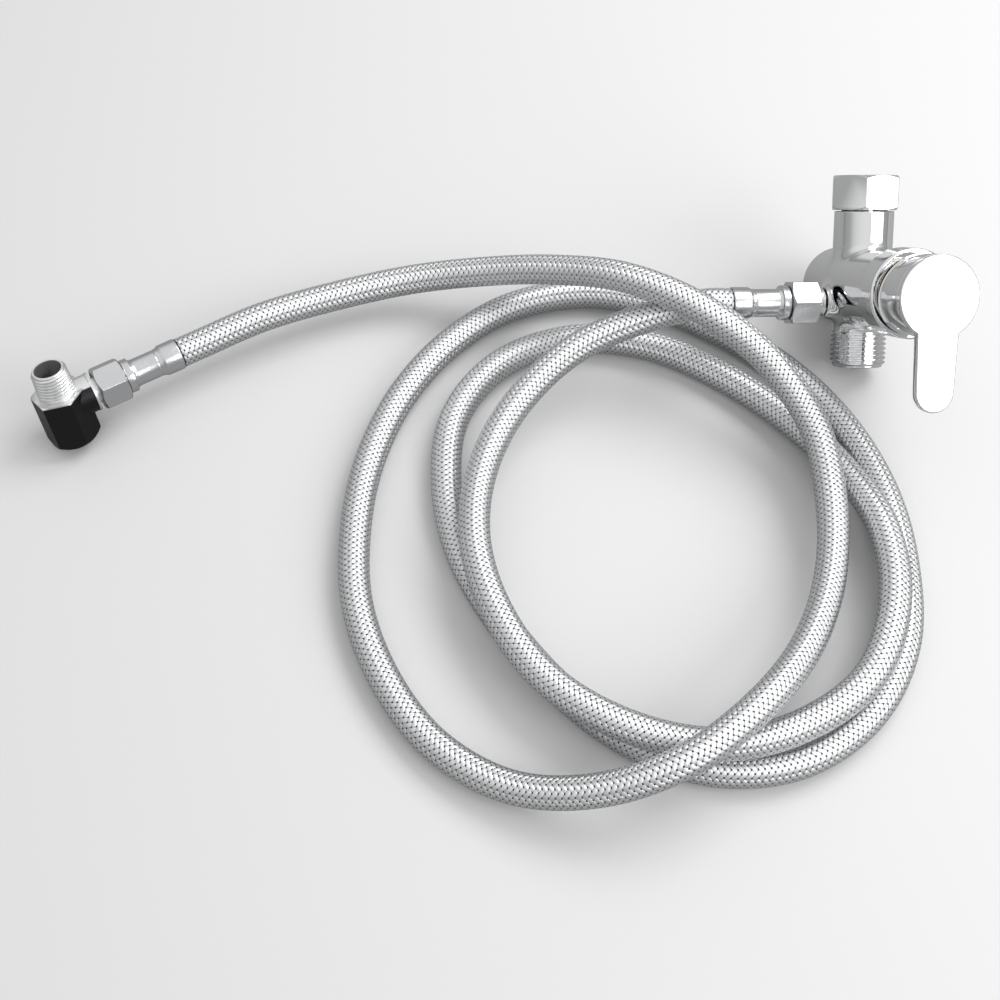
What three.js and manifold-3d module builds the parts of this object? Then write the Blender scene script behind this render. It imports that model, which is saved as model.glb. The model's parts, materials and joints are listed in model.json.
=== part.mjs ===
// A single-lever mixing valve with its braided feed hose and tee adaptor, lying on a table.
// Millimetres, +Z up. The origin is on the table, below the middle of the valve's own box.
//
// Valve frame, before the valve is laid down: X runs along the barrel towards the lever,
// Z runs up the inlet neck, and the hose port points along -Y.

import * as THREE from 'three';
import { mergeVertices } from 'three/addons/utils/BufferGeometryUtils.js';
import Module from 'manifold-3d';

const wasm = await Module();
wasm.setup();

// Clearances
const GAP = 0.3; // between pieces that touch
const RUN = 0.35; // round pieces that turn or slide in one another
const THREAD_GAP = 0.3; // crest of an outside thread to the wall of its nut

// Facets of round pieces
const SIDES = 28;
const SMALL_SIDES = 18;
const TINY_SIDES = 10;

// How the valve lies
const LEAN_BACK = 48.7; // degrees, inlet neck back from upright
const SPIN = 80; // degrees, about the inlet neck

// Barrel and cartridge housing
const BARREL_RADIUS = 14.5;
const BARREL_REAR = 24.5;
const REAR_BEVEL = 2.4;
const HOUSING_STEP = 1.7; // how far the housing stands out from the barrel
const HOUSING_START = 34;
const HOUSING_END = 46;
const HOUSING_BEVEL = 1.6;
const CHAMBER_WALL = 1.6; // barrel wall round the cartridge
const HOUSING_FLOOR = 25.5;

// Inlet neck, on top
const NECK_RADIUS = 11.2;
const NECK_FLARE = 1.6;
const NECK_TOP = 28.9;
const TAIL_RADIUS = 8;
const TAIL_TOP = 33.6;
const INLET_BORE = 6.4;
const INLET_BORE_BOTTOM = 3;
const RING_GROOVE = 0.8;

// Inlet nut, G 1/2 inside
const INLET_NUT_FLATS = 24;
const INLET_NUT_TURN = 9; // degrees, way its corners point
const INLET_NUT_HEIGHT = 13;
const INLET_NUT_ROOM = 1.5; // its inside over the tail, for the snap ring
const INLET_NUT_LIP = 2.5;
const WASHER_THICKNESS = 2;
const RING_THICKNESS = 1.2;

// Outlet stub, G 1/2 outside
const OUTLET_CREST = 10.48;
const OUTLET_THREAD_DEPTH = 1.1;
const OUTLET_PITCH = 1.81;
const OUTLET_TURNS = 7;
const OUTLET_END = 30.6;
const OUTLET_NECK = 9.4;
const OUTLET_BORE = 7;
const OUTLET_BORE_TOP = 11.6;

// Hose port, G 1/4 outside
const PORT_X = 1.2;
const PORT_Z = -5.6;
const PORT_END = 24.6;
const PORT_CREST = 6.58;
const PORT_NECK = 5;
const PORT_THREAD_LENGTH = 5.2;
const PORT_BORE = 3.9;
const PORT_BORE_END = 3;

// Waterways between the ports and the cartridge
const WAY_SHARE = 0.23; // radius of a waterway, as a share of the cartridge's bore
const DISC_HOLE_LESS = 0.2; // disc and base holes are that much narrower
const DISC_RIM = 1.45; // from such a hole to the disc's edge
const COLD_WAY_ANGLE = 57.5;
const HOT_WAY_ANGLE = 204.6;
const MIXED_WAY_ANGLE = -36.9;
const MIXED_DROP_X = 3;

// Cartridge
const SEAL_WIRE = 0.8;
const SEAL_LAND = 0.7; // from a waterway to the middle of its seal
const BASE_THICKNESS = 3.5;
const SHELL_WALL = 2.1;
const SHELL_FLANGE = 2;
const FIXED_DISC = 2.5;
const MOVING_DISC = 2.5;
const MOVING_DISC_ROOM = 2.85; // round the moving disc, for its slide
const MIXING_POCKET = 5;
const MIXING_POCKET_DEPTH = 1.2;
const COUPLER = 2;
const COUPLER_SLOT = 4.4;
const ROTOR_COLLAR = 1.8;
const ROTOR_HEAD_RADIUS = 7.9;
const ROTOR_STANDS_OUT = 4; // of the shell
const ROTOR_SLOT_LENGTH = 9.2;
const STEM_WIDTH = 4.6;
const STEM_DEPTH = 5;
const STEM_TAIL = 3.2;
const STEM_TIP = 61.2;
const PIN_RADIUS = 1;
const PIN_LENGTH = 13.6;
const PIVOT_X = 44;

// Ring nut and dome ring over the cartridge
const RING_NUT = 2.4;
const RING_NUT_BORE = 8.6;
const DOME_ROOM = 0.5; // dome to the hub over it
const DOME_WALL = 1;
const DOME_BAND = 3.4; // dome's reach in from its widest radius

// Lever
const HUB_RADIUS = 14.7;
const HUB_REAR_LOW = 46.5; // on the lever's side
const HUB_REAR_HIGH = 52.5; // opposite the lever, where it needs room to tilt back
const HUB_WALL = 1.2;
const PLATE_BACK = 64;
const PLATE_THICKNESS = 3;
const PLATE_EDGE = 0.5;
const LEVER_LENGTH = 33; // barrel axis to the middle of the round end
const LEVER_HALF_WIDTH = 7.7; // where it leaves the round plate
const LEVER_TIP_HALF = 7.1;
const BOSS_RADIUS = 4.9;
const BOSS_BACK = 54.6;
const SCREW_X = 60;
const SCREW_RADIUS = 1.6;
const SCREW_LENGTH = 5;
const PLUG_LENGTH = 2.2;

// Hose end fitting, the same at both ends
const HOSE_NUT_FLATS = 15.6;
const HOSE_NUT_TURN = -27.5; // degrees, way its corners point
const HOSE_NUT_LENGTH = 11;
const HOSE_NUT_LIP = 1.4;
const HOSE_SEAL = 1.5;
const HOSE_FLANGE = 1.8;
const HOSE_TAIL_RADIUS = 4.2;
const HOSE_TAIL_BORE = 2.8;
const FERRULE_BEAD = 3;
const FERRULE_BEAD_RADIUS = 6.6;
const FERRULE_NECK = 12.5;
const FERRULE_NECK_RADIUS = 5.3;
const FERRULE_RING = 7;
const FERRULE_RING_RADIUS = 6.1;

// Hose
const HOSE_RADIUS = 5.75;
const HOSE_SIDES = 8;
const HOSE_STEPS = 80;
const HOSE_LEAD = 9; // straight stretch out of each ferrule

// Tee adaptor, with a tapered thread on top and a G 3/8 socket below
const TEE_AT = [-304.5, -31.6];
const TEE_HEADING = 31.6; // degrees, way its hose port points
const TEE_TILT = 17; // degrees, its top leans away from the hose's left
const TEE_DROP = 2.2; // degrees, its hose port points down
const TEE_FLATS = 18;
const TEE_HEX_TURN = 9.5; // degrees, way its corners point
const TEE_TOP = 6.3;
const TEE_BOTTOM = 16;
const TEE_THREAD_END = 17.4;
const TEE_CREST = 6.65; // at the mouth
const TEE_TAPER = 0.055; // growth of the radius down the thread, per millimetre
const TEE_THREAD_DEPTH = 0.55;
const TEE_PITCH = 1.34;
const TEE_TURNS = 7;
const TEE_BORE = 5.2;
const TEE_SOCKET = 7.4;
const TEE_SOCKET_DEPTH = 9;
const TEE_PORT_END = 19.4;
const TEE_BOSS = 7.6;
const TEE_BOSS_END = 12.6;
const TEE_ROUND = 2.6;

// Check valves
const CHECK_WALL = 1.4;
const CHECK_LENGTH = 12;
const CHECK_SEAT = 2;
const CHECK_FLOOR = 1.5;
const CHECK_STEM = 0.8;
const CHECK_COLD_TOP = 27;
const CHECK_HOT_TOP = 22;
const SPRING_WIRE = 0.3;
const SPRING_TURNS = 4;

// Middle line of the hose over the table, from the tee's ferrule to the valve's.
const HOSE_POINTS = [
  [-233, 11, 15.5], [-205, 23, 13.5], [-175, 30, 15], [-146, 28, 22.5],
  [-118, 20, 33.5], [-92, 8, 43.5], [-65, -7, 44], [-41, -23, 34.5],
  [-24, -46, 23.5], [-20, -75, 17.5], [-24, -105, 17], [-36, -133, 22],
  [-55, -157, 28.5], [-79, -175, 27.5], [-107, -182, 18], [-136, -178, 9],
  [-162, -162, 6], [-180, -138, 6], [-191, -109, 6], [-193, -79, 6],
  [-189, -49, 6], [-178, -20, 6], [-160, 5, 6], [-136, 23, 6],
  [-106, 30, 6], [-76, 24, 6], [-49, 9, 6], [-26, -10, 6],
  [-8, -35, 6], [3, -64, 6], [6, -94, 6], [2, -125, 6],
  [-13, -151, 6], [-38, -168, 6], [-68, -171, 6], [-97, -160, 6],
  [-120, -141, 6], [-139, -117, 6], [-154, -89, 6], [-160, -60, 6],
  [-157, -29, 6], [-140, -5, 6], [-112, 7, 6], [-81, 4, 6],
  [-54, -10, 6], [-31, -30, 7], [-13, -55, 10.5], [-2, -83, 15.5],
  [-2, -113, 17], [-14, -141, 16], [-39, -159, 15.5], [-68, -166, 17],
  [-98, -160, 18.5], [-124, -143, 18], [-141, -118, 18.5], [-149, -89, 18],
  [-146, -58, 17], [-133, -31, 19], [-111, -11, 25.5], [-83, -1, 32],
];

const degrees = THREE.MathUtils.degToRad;

const finish = (color, roughness, metalness) => ({ color, roughness, metalness });
const CHROME = finish(0xdcdee0, 0.08, 1);
const SATIN_STEEL = finish(0xb9bbbd, 0.32, 1);
const BRAID = finish(0xb4b6b8, 0.4, 0.9);
const DARK_METAL = finish(0x26272a, 0.3, 0.8);
const BRASS = finish(0xb89a55, 0.3, 1);
const STEEL = finish(0x9a9c9e, 0.3, 1);
const RUBBER = finish(0x1c1c1c, 0.8, 0);
const WHITE_PLASTIC = finish(0xe8e8e2, 0.45, 0);
const GREY_PLASTIC = finish(0x7d8084, 0.5, 0);
const CERAMIC = finish(0xf2efe8, 0.25, 0);

// A closed solid from a three.js geometry, with its shared corners merged.
function solid(geometry) {
  const bare = geometry.index ? geometry.toNonIndexed() : geometry.clone();
  for (const name of Object.keys(bare.attributes)) {
    if (name !== 'position') bare.deleteAttribute(name);
  }
  const merged = mergeVertices(bare, 1e-4);
  const kept = [];
  const index = merged.index.array;
  for (let i = 0; i < index.length; i += 3) {
    const [a, b, c] = [index[i], index[i + 1], index[i + 2]];
    if (a !== b && b !== c && c !== a) kept.push(a, b, c);
  }
  const make = (triangles) => new wasm.Manifold(new wasm.Mesh({
    numProp: 3,
    vertProperties: new Float32Array(merged.attributes.position.array),
    triVerts: new Uint32Array(triangles),
  }));
  if (signedVolume(merged.attributes.position, kept) > 0) return make(kept);
  const flipped = [];
  for (let i = 0; i < kept.length; i += 3) flipped.push(kept[i], kept[i + 2], kept[i + 1]);
  return make(flipped);
}

function signedVolume(position, index) {
  const a = new THREE.Vector3();
  const b = new THREE.Vector3();
  const c = new THREE.Vector3();
  let sum = 0;
  for (let i = 0; i < index.length; i += 3) {
    a.fromBufferAttribute(position, index[i]);
    b.fromBufferAttribute(position, index[i + 1]);
    c.fromBufferAttribute(position, index[i + 2]);
    sum += a.dot(b.cross(c));
  }
  return sum;
}

function joined(first, ...others) {
  return others.reduce((whole, piece) => whole.add(piece), first);
}

function cut(from, ...tools) {
  return tools.reduce((left, tool) => left.subtract(tool), from);
}

function geometryOf(body) {
  const { numProp, vertProperties, triVerts } = body.getMesh();
  const positions = new Float32Array((vertProperties.length / numProp) * 3);
  for (let i = 0; i < positions.length / 3; i += 1) {
    positions.set(vertProperties.slice(i * numProp, i * numProp + 3), i * 3);
  }
  const geometry = new THREE.BufferGeometry();
  geometry.setAttribute('position', new THREE.BufferAttribute(positions, 3));
  geometry.setIndex(new THREE.BufferAttribute(new Uint32Array(triVerts), 1));
  const flat = geometry.toNonIndexed();
  flat.computeVertexNormals();
  return flat;
}

function part(name, body, look) {
  const material = new THREE.MeshStandardMaterial(look);
  const mesh = new THREE.Mesh(geometryOf(body), material);
  mesh.name = name;
  return mesh;
}

// Round shape about Z from a closed outline of [radius, z] pairs.
function turned(outline, sides = SIDES) {
  const points = outline.map(([radius, z]) => new THREE.Vector2(radius, z));
  const [first] = points;
  const last = points[points.length - 1];
  const onAxis = first.x === 0 && last.x === 0;
  if (!onAxis) points.push(first.clone());
  return new THREE.LatheGeometry(points, sides).rotateX(Math.PI / 2);
}

function rod(radius, from, to, sides = SIDES) {
  return turned([[0, from], [radius, from], [radius, to], [0, to]], sides);
}

function ring(inner, outer, from, to, sides = SIDES) {
  return turned([[inner, from], [outer, from], [outer, to], [inner, to]], sides);
}

function torus(radius, wire, corners = 6) {
  const outline = [];
  for (let i = 0; i < corners; i += 1) {
    const angle = (i / corners) * 2 * Math.PI;
    outline.push([radius + wire * Math.cos(angle), wire * Math.sin(angle)]);
  }
  return turned(outline, SMALL_SIDES);
}

// Round section of a wire or hose, as a many-sided shape.
function roundSection(radius, corners) {
  const shape = new THREE.Shape();
  for (let i = 0; i < corners; i += 1) {
    const angle = (i / corners) * 2 * Math.PI;
    const [x, y] = [radius * Math.cos(angle), radius * Math.sin(angle)];
    if (i === 0) shape.moveTo(x, y);
    else shape.lineTo(x, y);
  }
  shape.closePath();
  return shape;
}

// Turns a shape made about Z to lie along another axis.
const alongX = (geometry) => geometry.rotateY(Math.PI / 2);
const alongMinusY = (geometry) => geometry.rotateX(Math.PI / 2);

function box(sizeX, sizeY, sizeZ, x, y, z) {
  return new THREE.BoxGeometry(sizeX, sizeY, sizeZ).translate(x, y, z);
}

// Hexagon bar about Z with its corners turned down at both ends.
function hexagon(flats, from, to, turn, chamfer = 1) {
  const corner = flats / Math.sqrt(3);
  const height = to - from;
  const bar = new THREE.CylinderGeometry(corner, corner, height, 6)
    .rotateX(Math.PI / 2)
    .rotateZ(degrees(turn))
    .translate(0, 0, (from + to) / 2);
  const drop = (corner - flats / 2 + 0.3) * Math.tan(degrees(30));
  const face = corner + 0.05 - chamfer;
  const envelope = turned([
    [0, from], [face, from], [corner + 0.05, from + drop],
    [corner + 0.05, to - drop], [face, to], [0, to],
  ]);
  return solid(bar).intersect(solid(envelope));
}

// Outline points of a ridged thread between two heights, crest and root in turn.
// The crest given is the last one, and a taper makes the ones before it wider.
function ridges(crest, depth, pitch, turns, start, taper = 0) {
  const end = start + turns * pitch;
  const crestAt = (z) => crest + taper * (end - z);
  const points = [];
  for (let i = 0; i < turns; i += 1) {
    const z = start + i * pitch;
    points.push([crestAt(z) - depth, z], [crestAt(z + pitch / 2), z + pitch / 2]);
  }
  points.push([crest - depth, end]);
  return points;
}

// Sizes across that follow from the values above
const inletNutBore = TAIL_RADIUS + INLET_NUT_ROOM;
const housingRadius = BARREL_RADIUS + HOUSING_STEP;
const chamberRadius = BARREL_RADIUS - CHAMBER_WALL;
const cartridgeRadius = chamberRadius - RUN;
const shellBore = cartridgeRadius - SHELL_WALL;
const wayRadius = shellBore * WAY_SHARE;
const discHole = wayRadius - DISC_HOLE_LESS;
const wayCircle = shellBore - GAP - DISC_RIM - discHole;
const movingDiscRadius = shellBore - MOVING_DISC_ROOM;
const hubCavity = HUB_RADIUS - HUB_WALL;
const domeRadius = hubCavity - DOME_ROOM;
const domeHole = domeRadius - DOME_BAND;

// Places that follow from the values above, all along the barrel
const sealX = HOUSING_FLOOR + GAP + SEAL_WIRE;
const baseX = sealX + SEAL_WIRE + GAP;
const shellX = baseX + BASE_THICKNESS + GAP;
const fixedX = shellX;
const movingX = fixedX + FIXED_DISC + GAP;
const couplerX = movingX + MOVING_DISC + GAP;
const rotorX = couplerX + COUPLER + GAP;
const shellEnd = rotorX + ROTOR_COLLAR + GAP + SHELL_FLANGE;
const rotorTop = shellEnd + ROTOR_STANDS_OUT;
const ringNutX = shellEnd + GAP;
const domeX = ringNutX + RING_NUT + GAP;

// Place of a waterway on the cartridge's port circle, as [y, z].
function wayAt(angle) {
  const a = degrees(angle);
  return [wayCircle * Math.cos(a), wayCircle * Math.sin(a)];
}

const ways = {
  cold: wayAt(COLD_WAY_ANGLE),
  hot: wayAt(HOT_WAY_ANGLE),
  mixed: wayAt(MIXED_WAY_ANGLE),
};

function outletStub() {
  const threadTop = OUTLET_END - 0.8 - OUTLET_TURNS * OUTLET_PITCH;
  const root = OUTLET_CREST - OUTLET_THREAD_DEPTH;
  const outline = [[0, 0], [OUTLET_NECK, 0], [OUTLET_NECK, threadTop - 0.4]];
  outline.push(...ridges(OUTLET_CREST, OUTLET_THREAD_DEPTH, OUTLET_PITCH, OUTLET_TURNS, threadTop));
  outline.push([root, OUTLET_END], [0, OUTLET_END]);
  return turned(outline).rotateX(Math.PI);
}

function hosePortStub() {
  const root = PORT_CREST - 0.5;
  const threadStart = PORT_END - PORT_THREAD_LENGTH;
  const outline = [
    [0, 0], [PORT_NECK + 1.2, 0], [PORT_NECK + 1.2, BARREL_RADIUS], [PORT_NECK, BARREL_RADIUS + 1.2],
    [PORT_NECK, threadStart], [PORT_CREST, threadStart + 0.4], [PORT_CREST, PORT_END - 0.6],
    [root, PORT_END], [0, PORT_END],
  ];
  return alongMinusY(turned(outline, SMALL_SIDES)).translate(PORT_X, 0, PORT_Z);
}

function inletNeck() {
  const groove = TAIL_RADIUS - RING_GROOVE;
  const ringZ = inletRingZ();
  return turned([
    [0, 0], [NECK_RADIUS + NECK_FLARE, 0], [NECK_RADIUS + NECK_FLARE, BARREL_RADIUS - 3],
    [NECK_RADIUS + 0.4, BARREL_RADIUS + 0.5], [NECK_RADIUS, BARREL_RADIUS + 3],
    [NECK_RADIUS, NECK_TOP - 0.5], [NECK_RADIUS - 0.5, NECK_TOP], [TAIL_RADIUS, NECK_TOP],
    [TAIL_RADIUS, ringZ - 0.15], [groove, ringZ - 0.15],
    [groove, ringZ + RING_THICKNESS + 0.15], [TAIL_RADIUS, ringZ + RING_THICKNESS + 0.15],
    [TAIL_RADIUS, TAIL_TOP], [0, TAIL_TOP],
  ]);
}

const inletNutZ = () => NECK_TOP + GAP;
const inletRingZ = () => inletNutZ() + INLET_NUT_LIP + GAP;

function barrel() {
  const outer = alongX(turned([
    [0, -BARREL_REAR], [BARREL_RADIUS - REAR_BEVEL, -BARREL_REAR],
    [BARREL_RADIUS - REAR_BEVEL * 0.3, -BARREL_REAR + REAR_BEVEL * 0.3],
    [BARREL_RADIUS, -BARREL_REAR + REAR_BEVEL],
    [BARREL_RADIUS, HOUSING_START], [housingRadius - 0.3, HOUSING_START + HOUSING_BEVEL * 0.7],
    [housingRadius, HOUSING_START + HOUSING_BEVEL],
    [housingRadius, HOUSING_END - 0.6], [housingRadius - 0.6, HOUSING_END], [0, HOUSING_END],
  ]));
  return solid(outer);
}

function valveBody() {
  const outside = joined(
    barrel(),
    solid(inletNeck()),
    solid(outletStub()),
    solid(hosePortStub()),
  );
  const way = (place, from) => solid(
    alongX(rod(wayRadius, from, HOUSING_FLOOR + 1, TINY_SIDES)).translate(0, place[0], place[1]),
  );
  const mixedDrop = rod(wayRadius, -OUTLET_BORE_TOP - 1, ways.mixed[1], TINY_SIDES)
    .translate(MIXED_DROP_X, ways.mixed[0], 0);
  return cut(
    outside,
    solid(alongX(rod(chamberRadius, HOUSING_FLOOR, HOUSING_END + 1))),
    solid(rod(INLET_BORE, INLET_BORE_BOTTOM, TAIL_TOP + 1)),
    solid(rod(OUTLET_BORE, -OUTLET_END - 1, -OUTLET_BORE_TOP)),
    solid(alongMinusY(rod(PORT_BORE, PORT_BORE_END, PORT_END + 1, SMALL_SIDES))
      .translate(PORT_X, 0, PORT_Z)),
    way(ways.cold, 0),
    way(ways.hot, PORT_X),
    way(ways.mixed, MIXED_DROP_X),
    solid(mixedDrop),
  );
}

function inletNut() {
  const bottom = inletNutZ();
  const top = bottom + INLET_NUT_HEIGHT;
  return cut(
    hexagon(INLET_NUT_FLATS, bottom, top, INLET_NUT_TURN),
    solid(rod(TAIL_RADIUS + RUN, bottom - 1, top + 1)),
    solid(rod(inletNutBore, bottom + INLET_NUT_LIP, top + 1)),
  );
}

function inletPieces() {
  const ringZ = inletRingZ();
  const open = box(14, 3.2, 4, 7, 0, ringZ + RING_THICKNESS / 2);
  const inner = TAIL_RADIUS - RING_GROOVE + 0.2;
  const wire = solid(ring(inner, inletNutBore - RUN, ringZ, ringZ + RING_THICKNESS));
  const washerZ = TAIL_TOP + GAP;
  return [
    part('inlet_nut', inletNut(), CHROME),
    part('nut_retaining_ring', cut(wire, solid(open)), STEEL),
    part('inlet_washer', solid(ring(
      INLET_BORE - 0.6, inletNutBore - RUN, washerZ, washerZ + WASHER_THICKNESS,
    )), RUBBER),
  ];
}

// One non-return valve about Z: water comes from the top and pushes the poppet down.
function checkValve(name, bore, top) {
  const outer = bore - GAP;
  const inner = outer - CHECK_WALL;
  const seatHole = inner - 1;
  const bottom = top - CHECK_LENGTH;
  const seatZ = top - CHECK_SEAT;
  const poppetRadius = inner - RUN;
  const poppetThickness = 1.6;
  const shell = turned([
    [seatHole, top], [outer, top], [outer, bottom], [CHECK_STEM + RUN, bottom],
    [CHECK_STEM + RUN, bottom + CHECK_FLOOR], [inner, bottom + CHECK_FLOOR],
    [inner, seatZ], [seatHole, seatZ],
  ], SMALL_SIDES);
  const holeAt = (CHECK_STEM + RUN + inner) / 2 + 0.1;
  const holeRadius = (inner - CHECK_STEM - RUN) / 2 - 0.35;
  const holes = [0, 90, 180, 270].map((angle) => solid(
    rod(holeRadius, bottom - 1, bottom + CHECK_FLOOR + 0.5, 10)
      .translate(holeAt, 0, 0)
      .rotateZ(degrees(angle)),
  ));
  const poppetTop = seatZ - GAP;
  const poppetBack = poppetTop - poppetThickness;
  const poppet = turned([
    [0, bottom + 0.2], [CHECK_STEM, bottom + 0.2], [CHECK_STEM, poppetBack], [poppetRadius, poppetBack],
    [poppetRadius, poppetTop - 0.5], [poppetRadius - 0.5, poppetTop], [0, poppetTop],
  ], SMALL_SIDES);
  const coilRadius = (CHECK_STEM + poppetRadius) / 2;
  const spring = coil(coilRadius, bottom + CHECK_FLOOR + GAP, poppetBack - GAP);
  return [
    part(`${name}_check_housing`, cut(solid(shell), ...holes), WHITE_PLASTIC),
    part(`${name}_check_poppet`, solid(poppet), GREY_PLASTIC),
    part(`${name}_check_spring`, solid(spring), STEEL),
  ];
}

class Helix extends THREE.Curve {
  constructor(radius, from, to, turns) {
    super();
    Object.assign(this, { radius, from, to, turns });
  }

  getPoint(t, target = new THREE.Vector3()) {
    const angle = t * this.turns * 2 * Math.PI;
    const z = this.from + (this.to - this.from) * t;
    return target.set(this.radius * Math.cos(angle), this.radius * Math.sin(angle), z);
  }
}

function coil(radius, from, to) {
  return new THREE.ExtrudeGeometry(roundSection(SPRING_WIRE, 5), {
    steps: SPRING_TURNS * 8,
    extrudePath: new Helix(radius, from + SPRING_WIRE, to - SPRING_WIRE, SPRING_TURNS),
  });
}

function portHoles(from, to) {
  return Object.values(ways).map(([y, z]) => solid(
    alongX(rod(discHole, from, to, TINY_SIDES)).translate(0, y, z),
  ));
}

function fixedCartridgePieces() {
  const base = solid(alongX(rod(cartridgeRadius, baseX, baseX + BASE_THICKNESS)));
  const shell = solid(alongX(turned([
    [shellBore, shellX], [cartridgeRadius, shellX], [cartridgeRadius, shellEnd],
    [ROTOR_HEAD_RADIUS + RUN, shellEnd], [ROTOR_HEAD_RADIUS + RUN, shellEnd - SHELL_FLANGE],
    [shellBore, shellEnd - SHELL_FLANGE],
  ])));
  const disc = solid(alongX(rod(shellBore - GAP, fixedX, fixedX + FIXED_DISC)));
  const seals = Object.entries(ways).map(([name, [y, z]]) => part(
    `base_seal_${name}`,
    solid(alongX(torus(wayRadius + SEAL_LAND, SEAL_WIRE)).translate(sealX, y, z)),
    RUBBER,
  ));
  const ringNutRadius = chamberRadius - THREAD_GAP;
  const ringNut = solid(alongX(ring(RING_NUT_BORE, ringNutRadius, ringNutX, ringNutX + RING_NUT)));
  const notches = [0, 90].map((angle) => solid(
    alongX(box(2 * chamberRadius, 2.4, 2.4, 0, 0, ringNutX + RING_NUT).rotateZ(degrees(angle + 45))),
  ));
  return [
    ...seals,
    part('cartridge_base', cut(base, ...portHoles(baseX - 1, baseX + BASE_THICKNESS + 1)), WHITE_PLASTIC),
    part('cartridge_shell', shell, WHITE_PLASTIC),
    part('fixed_disc', cut(disc, ...portHoles(fixedX - 1, fixedX + FIXED_DISC + 1)), CERAMIC),
    part('ring_nut', cut(ringNut, ...notches), BRASS),
  ];
}

function domeRing() {
  const ball = (radius) => solid(
    alongX(new THREE.SphereGeometry(radius, SIDES, 16).rotateX(Math.PI / 2)).translate(PIVOT_X, 0, 0),
  );
  const behind = solid(box(80, 80, 80, domeX - 40, 0, 0));
  const hole = solid(alongX(rod(domeHole, PIVOT_X, PIVOT_X + 40)));
  return cut(ball(domeRadius), ball(domeRadius - DOME_WALL), behind, hole);
}

function movingCartridgePieces() {
  const pocket = solid(alongX(rod(MIXING_POCKET, movingX - 1, movingX + MIXING_POCKET_DEPTH, SMALL_SIDES)));
  const movingDisc = cut(solid(alongX(rod(movingDiscRadius, movingX, movingX + MOVING_DISC))), pocket);
  const coupler = cut(
    solid(alongX(rod(movingDiscRadius, couplerX, couplerX + COUPLER))),
    solid(box(COUPLER + 2, STEM_WIDTH + 2 * GAP, COUPLER_SLOT, couplerX + COUPLER / 2, 0, 0)),
  );
  const rotor = cut(
    solid(alongX(turned([
      [0, rotorX], [shellBore - RUN, rotorX], [shellBore - RUN, rotorX + ROTOR_COLLAR],
      [ROTOR_HEAD_RADIUS, rotorX + ROTOR_COLLAR], [ROTOR_HEAD_RADIUS, rotorTop], [0, rotorTop],
    ]))),
    solid(box(30, STEM_WIDTH + 2 * GAP, ROTOR_SLOT_LENGTH, rotorX + 5, 0, 0)),
    solid(alongMinusY(rod(PIN_RADIUS + 0.2, -20, 20, TINY_SIDES)).translate(PIVOT_X, 0, 0)),
  );
  return { movingDisc, coupler, rotor };
}

function stem() {
  const tailX = couplerX + 0.5;
  const waist = rotorX + 0.6;
  const head = box(STEM_TIP - waist, STEM_WIDTH, STEM_DEPTH, (STEM_TIP + waist) / 2, 0, 0);
  const tail = box(waist - tailX + 0.5, STEM_WIDTH, STEM_TAIL, (waist + tailX + 0.5) / 2, 0, 0);
  const hole = alongMinusY(rod(PIN_RADIUS + 0.2, -20, 20, TINY_SIDES)).translate(PIVOT_X, 0, 0);
  return cut(joined(solid(head), solid(tail)), solid(hole));
}

function stemPin() {
  const pin = rod(PIN_RADIUS, -PIN_LENGTH / 2, PIN_LENGTH / 2, TINY_SIDES);
  return solid(alongMinusY(pin).translate(PIVOT_X, 0, 0));
}

function leverOutline() {
  const radius = HUB_RADIUS - PLATE_EDGE;
  const meet = Math.asin((LEVER_HALF_WIDTH - PLATE_EDGE) / radius);
  const tip = LEVER_TIP_HALF - PLATE_EDGE;
  const shape = new THREE.Shape();
  shape.absarc(0, 0, radius, -Math.PI / 2 + meet, 1.5 * Math.PI - meet, false);
  shape.lineTo(-tip, -LEVER_LENGTH);
  shape.absarc(0, -LEVER_LENGTH, tip, Math.PI, 2 * Math.PI, false);
  shape.closePath();
  return shape;
}

function handle() {
  const plate = new THREE.ExtrudeGeometry(leverOutline(), {
    depth: PLATE_THICKNESS - 2 * PLATE_EDGE,
    curveSegments: 12,
    bevelSize: PLATE_EDGE,
    bevelThickness: PLATE_EDGE,
    bevelSegments: 1,
  }).translate(0, 0, PLATE_EDGE).rotateX(Math.PI / 2).rotateZ(Math.PI / 2).translate(PLATE_BACK, 0, 0);
  const hub = solid(alongX(rod(HUB_RADIUS, HUB_REAR_LOW - 3, PLATE_BACK + 1)));
  const cavity = solid(new THREE.SphereGeometry(hubCavity, SIDES, 16).translate(PIVOT_X, 0, 0));
  const boss = solid(alongX(rod(BOSS_RADIUS, BOSS_BACK, PLATE_BACK, SMALL_SIDES)));
  const slope = Math.atan2(HUB_REAR_HIGH - HUB_REAR_LOW, 2 * HUB_RADIUS);
  const rear = solid(
    box(40, 80, 80, -20, 0, 0)
      .rotateY(slope)
      .translate((HUB_REAR_LOW + HUB_REAR_HIGH) / 2, 0, 0),
  );
  const socket = solid(box(
    STEM_TIP + GAP - BOSS_BACK + 1, STEM_WIDTH + 2 * GAP, STEM_DEPTH + 2 * GAP,
    (STEM_TIP + GAP + BOSS_BACK - 1) / 2, 0, 0,
  ));
  const screwHole = solid(rod(SCREW_RADIUS + GAP, -HUB_RADIUS - 1, 0, TINY_SIDES).translate(SCREW_X, 0, 0));
  return cut(joined(cut(joined(hub, solid(plate)), cavity, rear), boss), socket, screwHole);
}

function leverScrew() {
  const tip = -STEM_DEPTH / 2 - GAP;
  const key = solid(new THREE.CylinderGeometry(0.9, 0.9, 3, 6).rotateX(Math.PI / 2)
    .translate(SCREW_X, 0, tip - SCREW_LENGTH));
  const body = solid(rod(SCREW_RADIUS, tip - SCREW_LENGTH, tip, TINY_SIDES).translate(SCREW_X, 0, 0));
  return cut(body, key);
}

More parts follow.
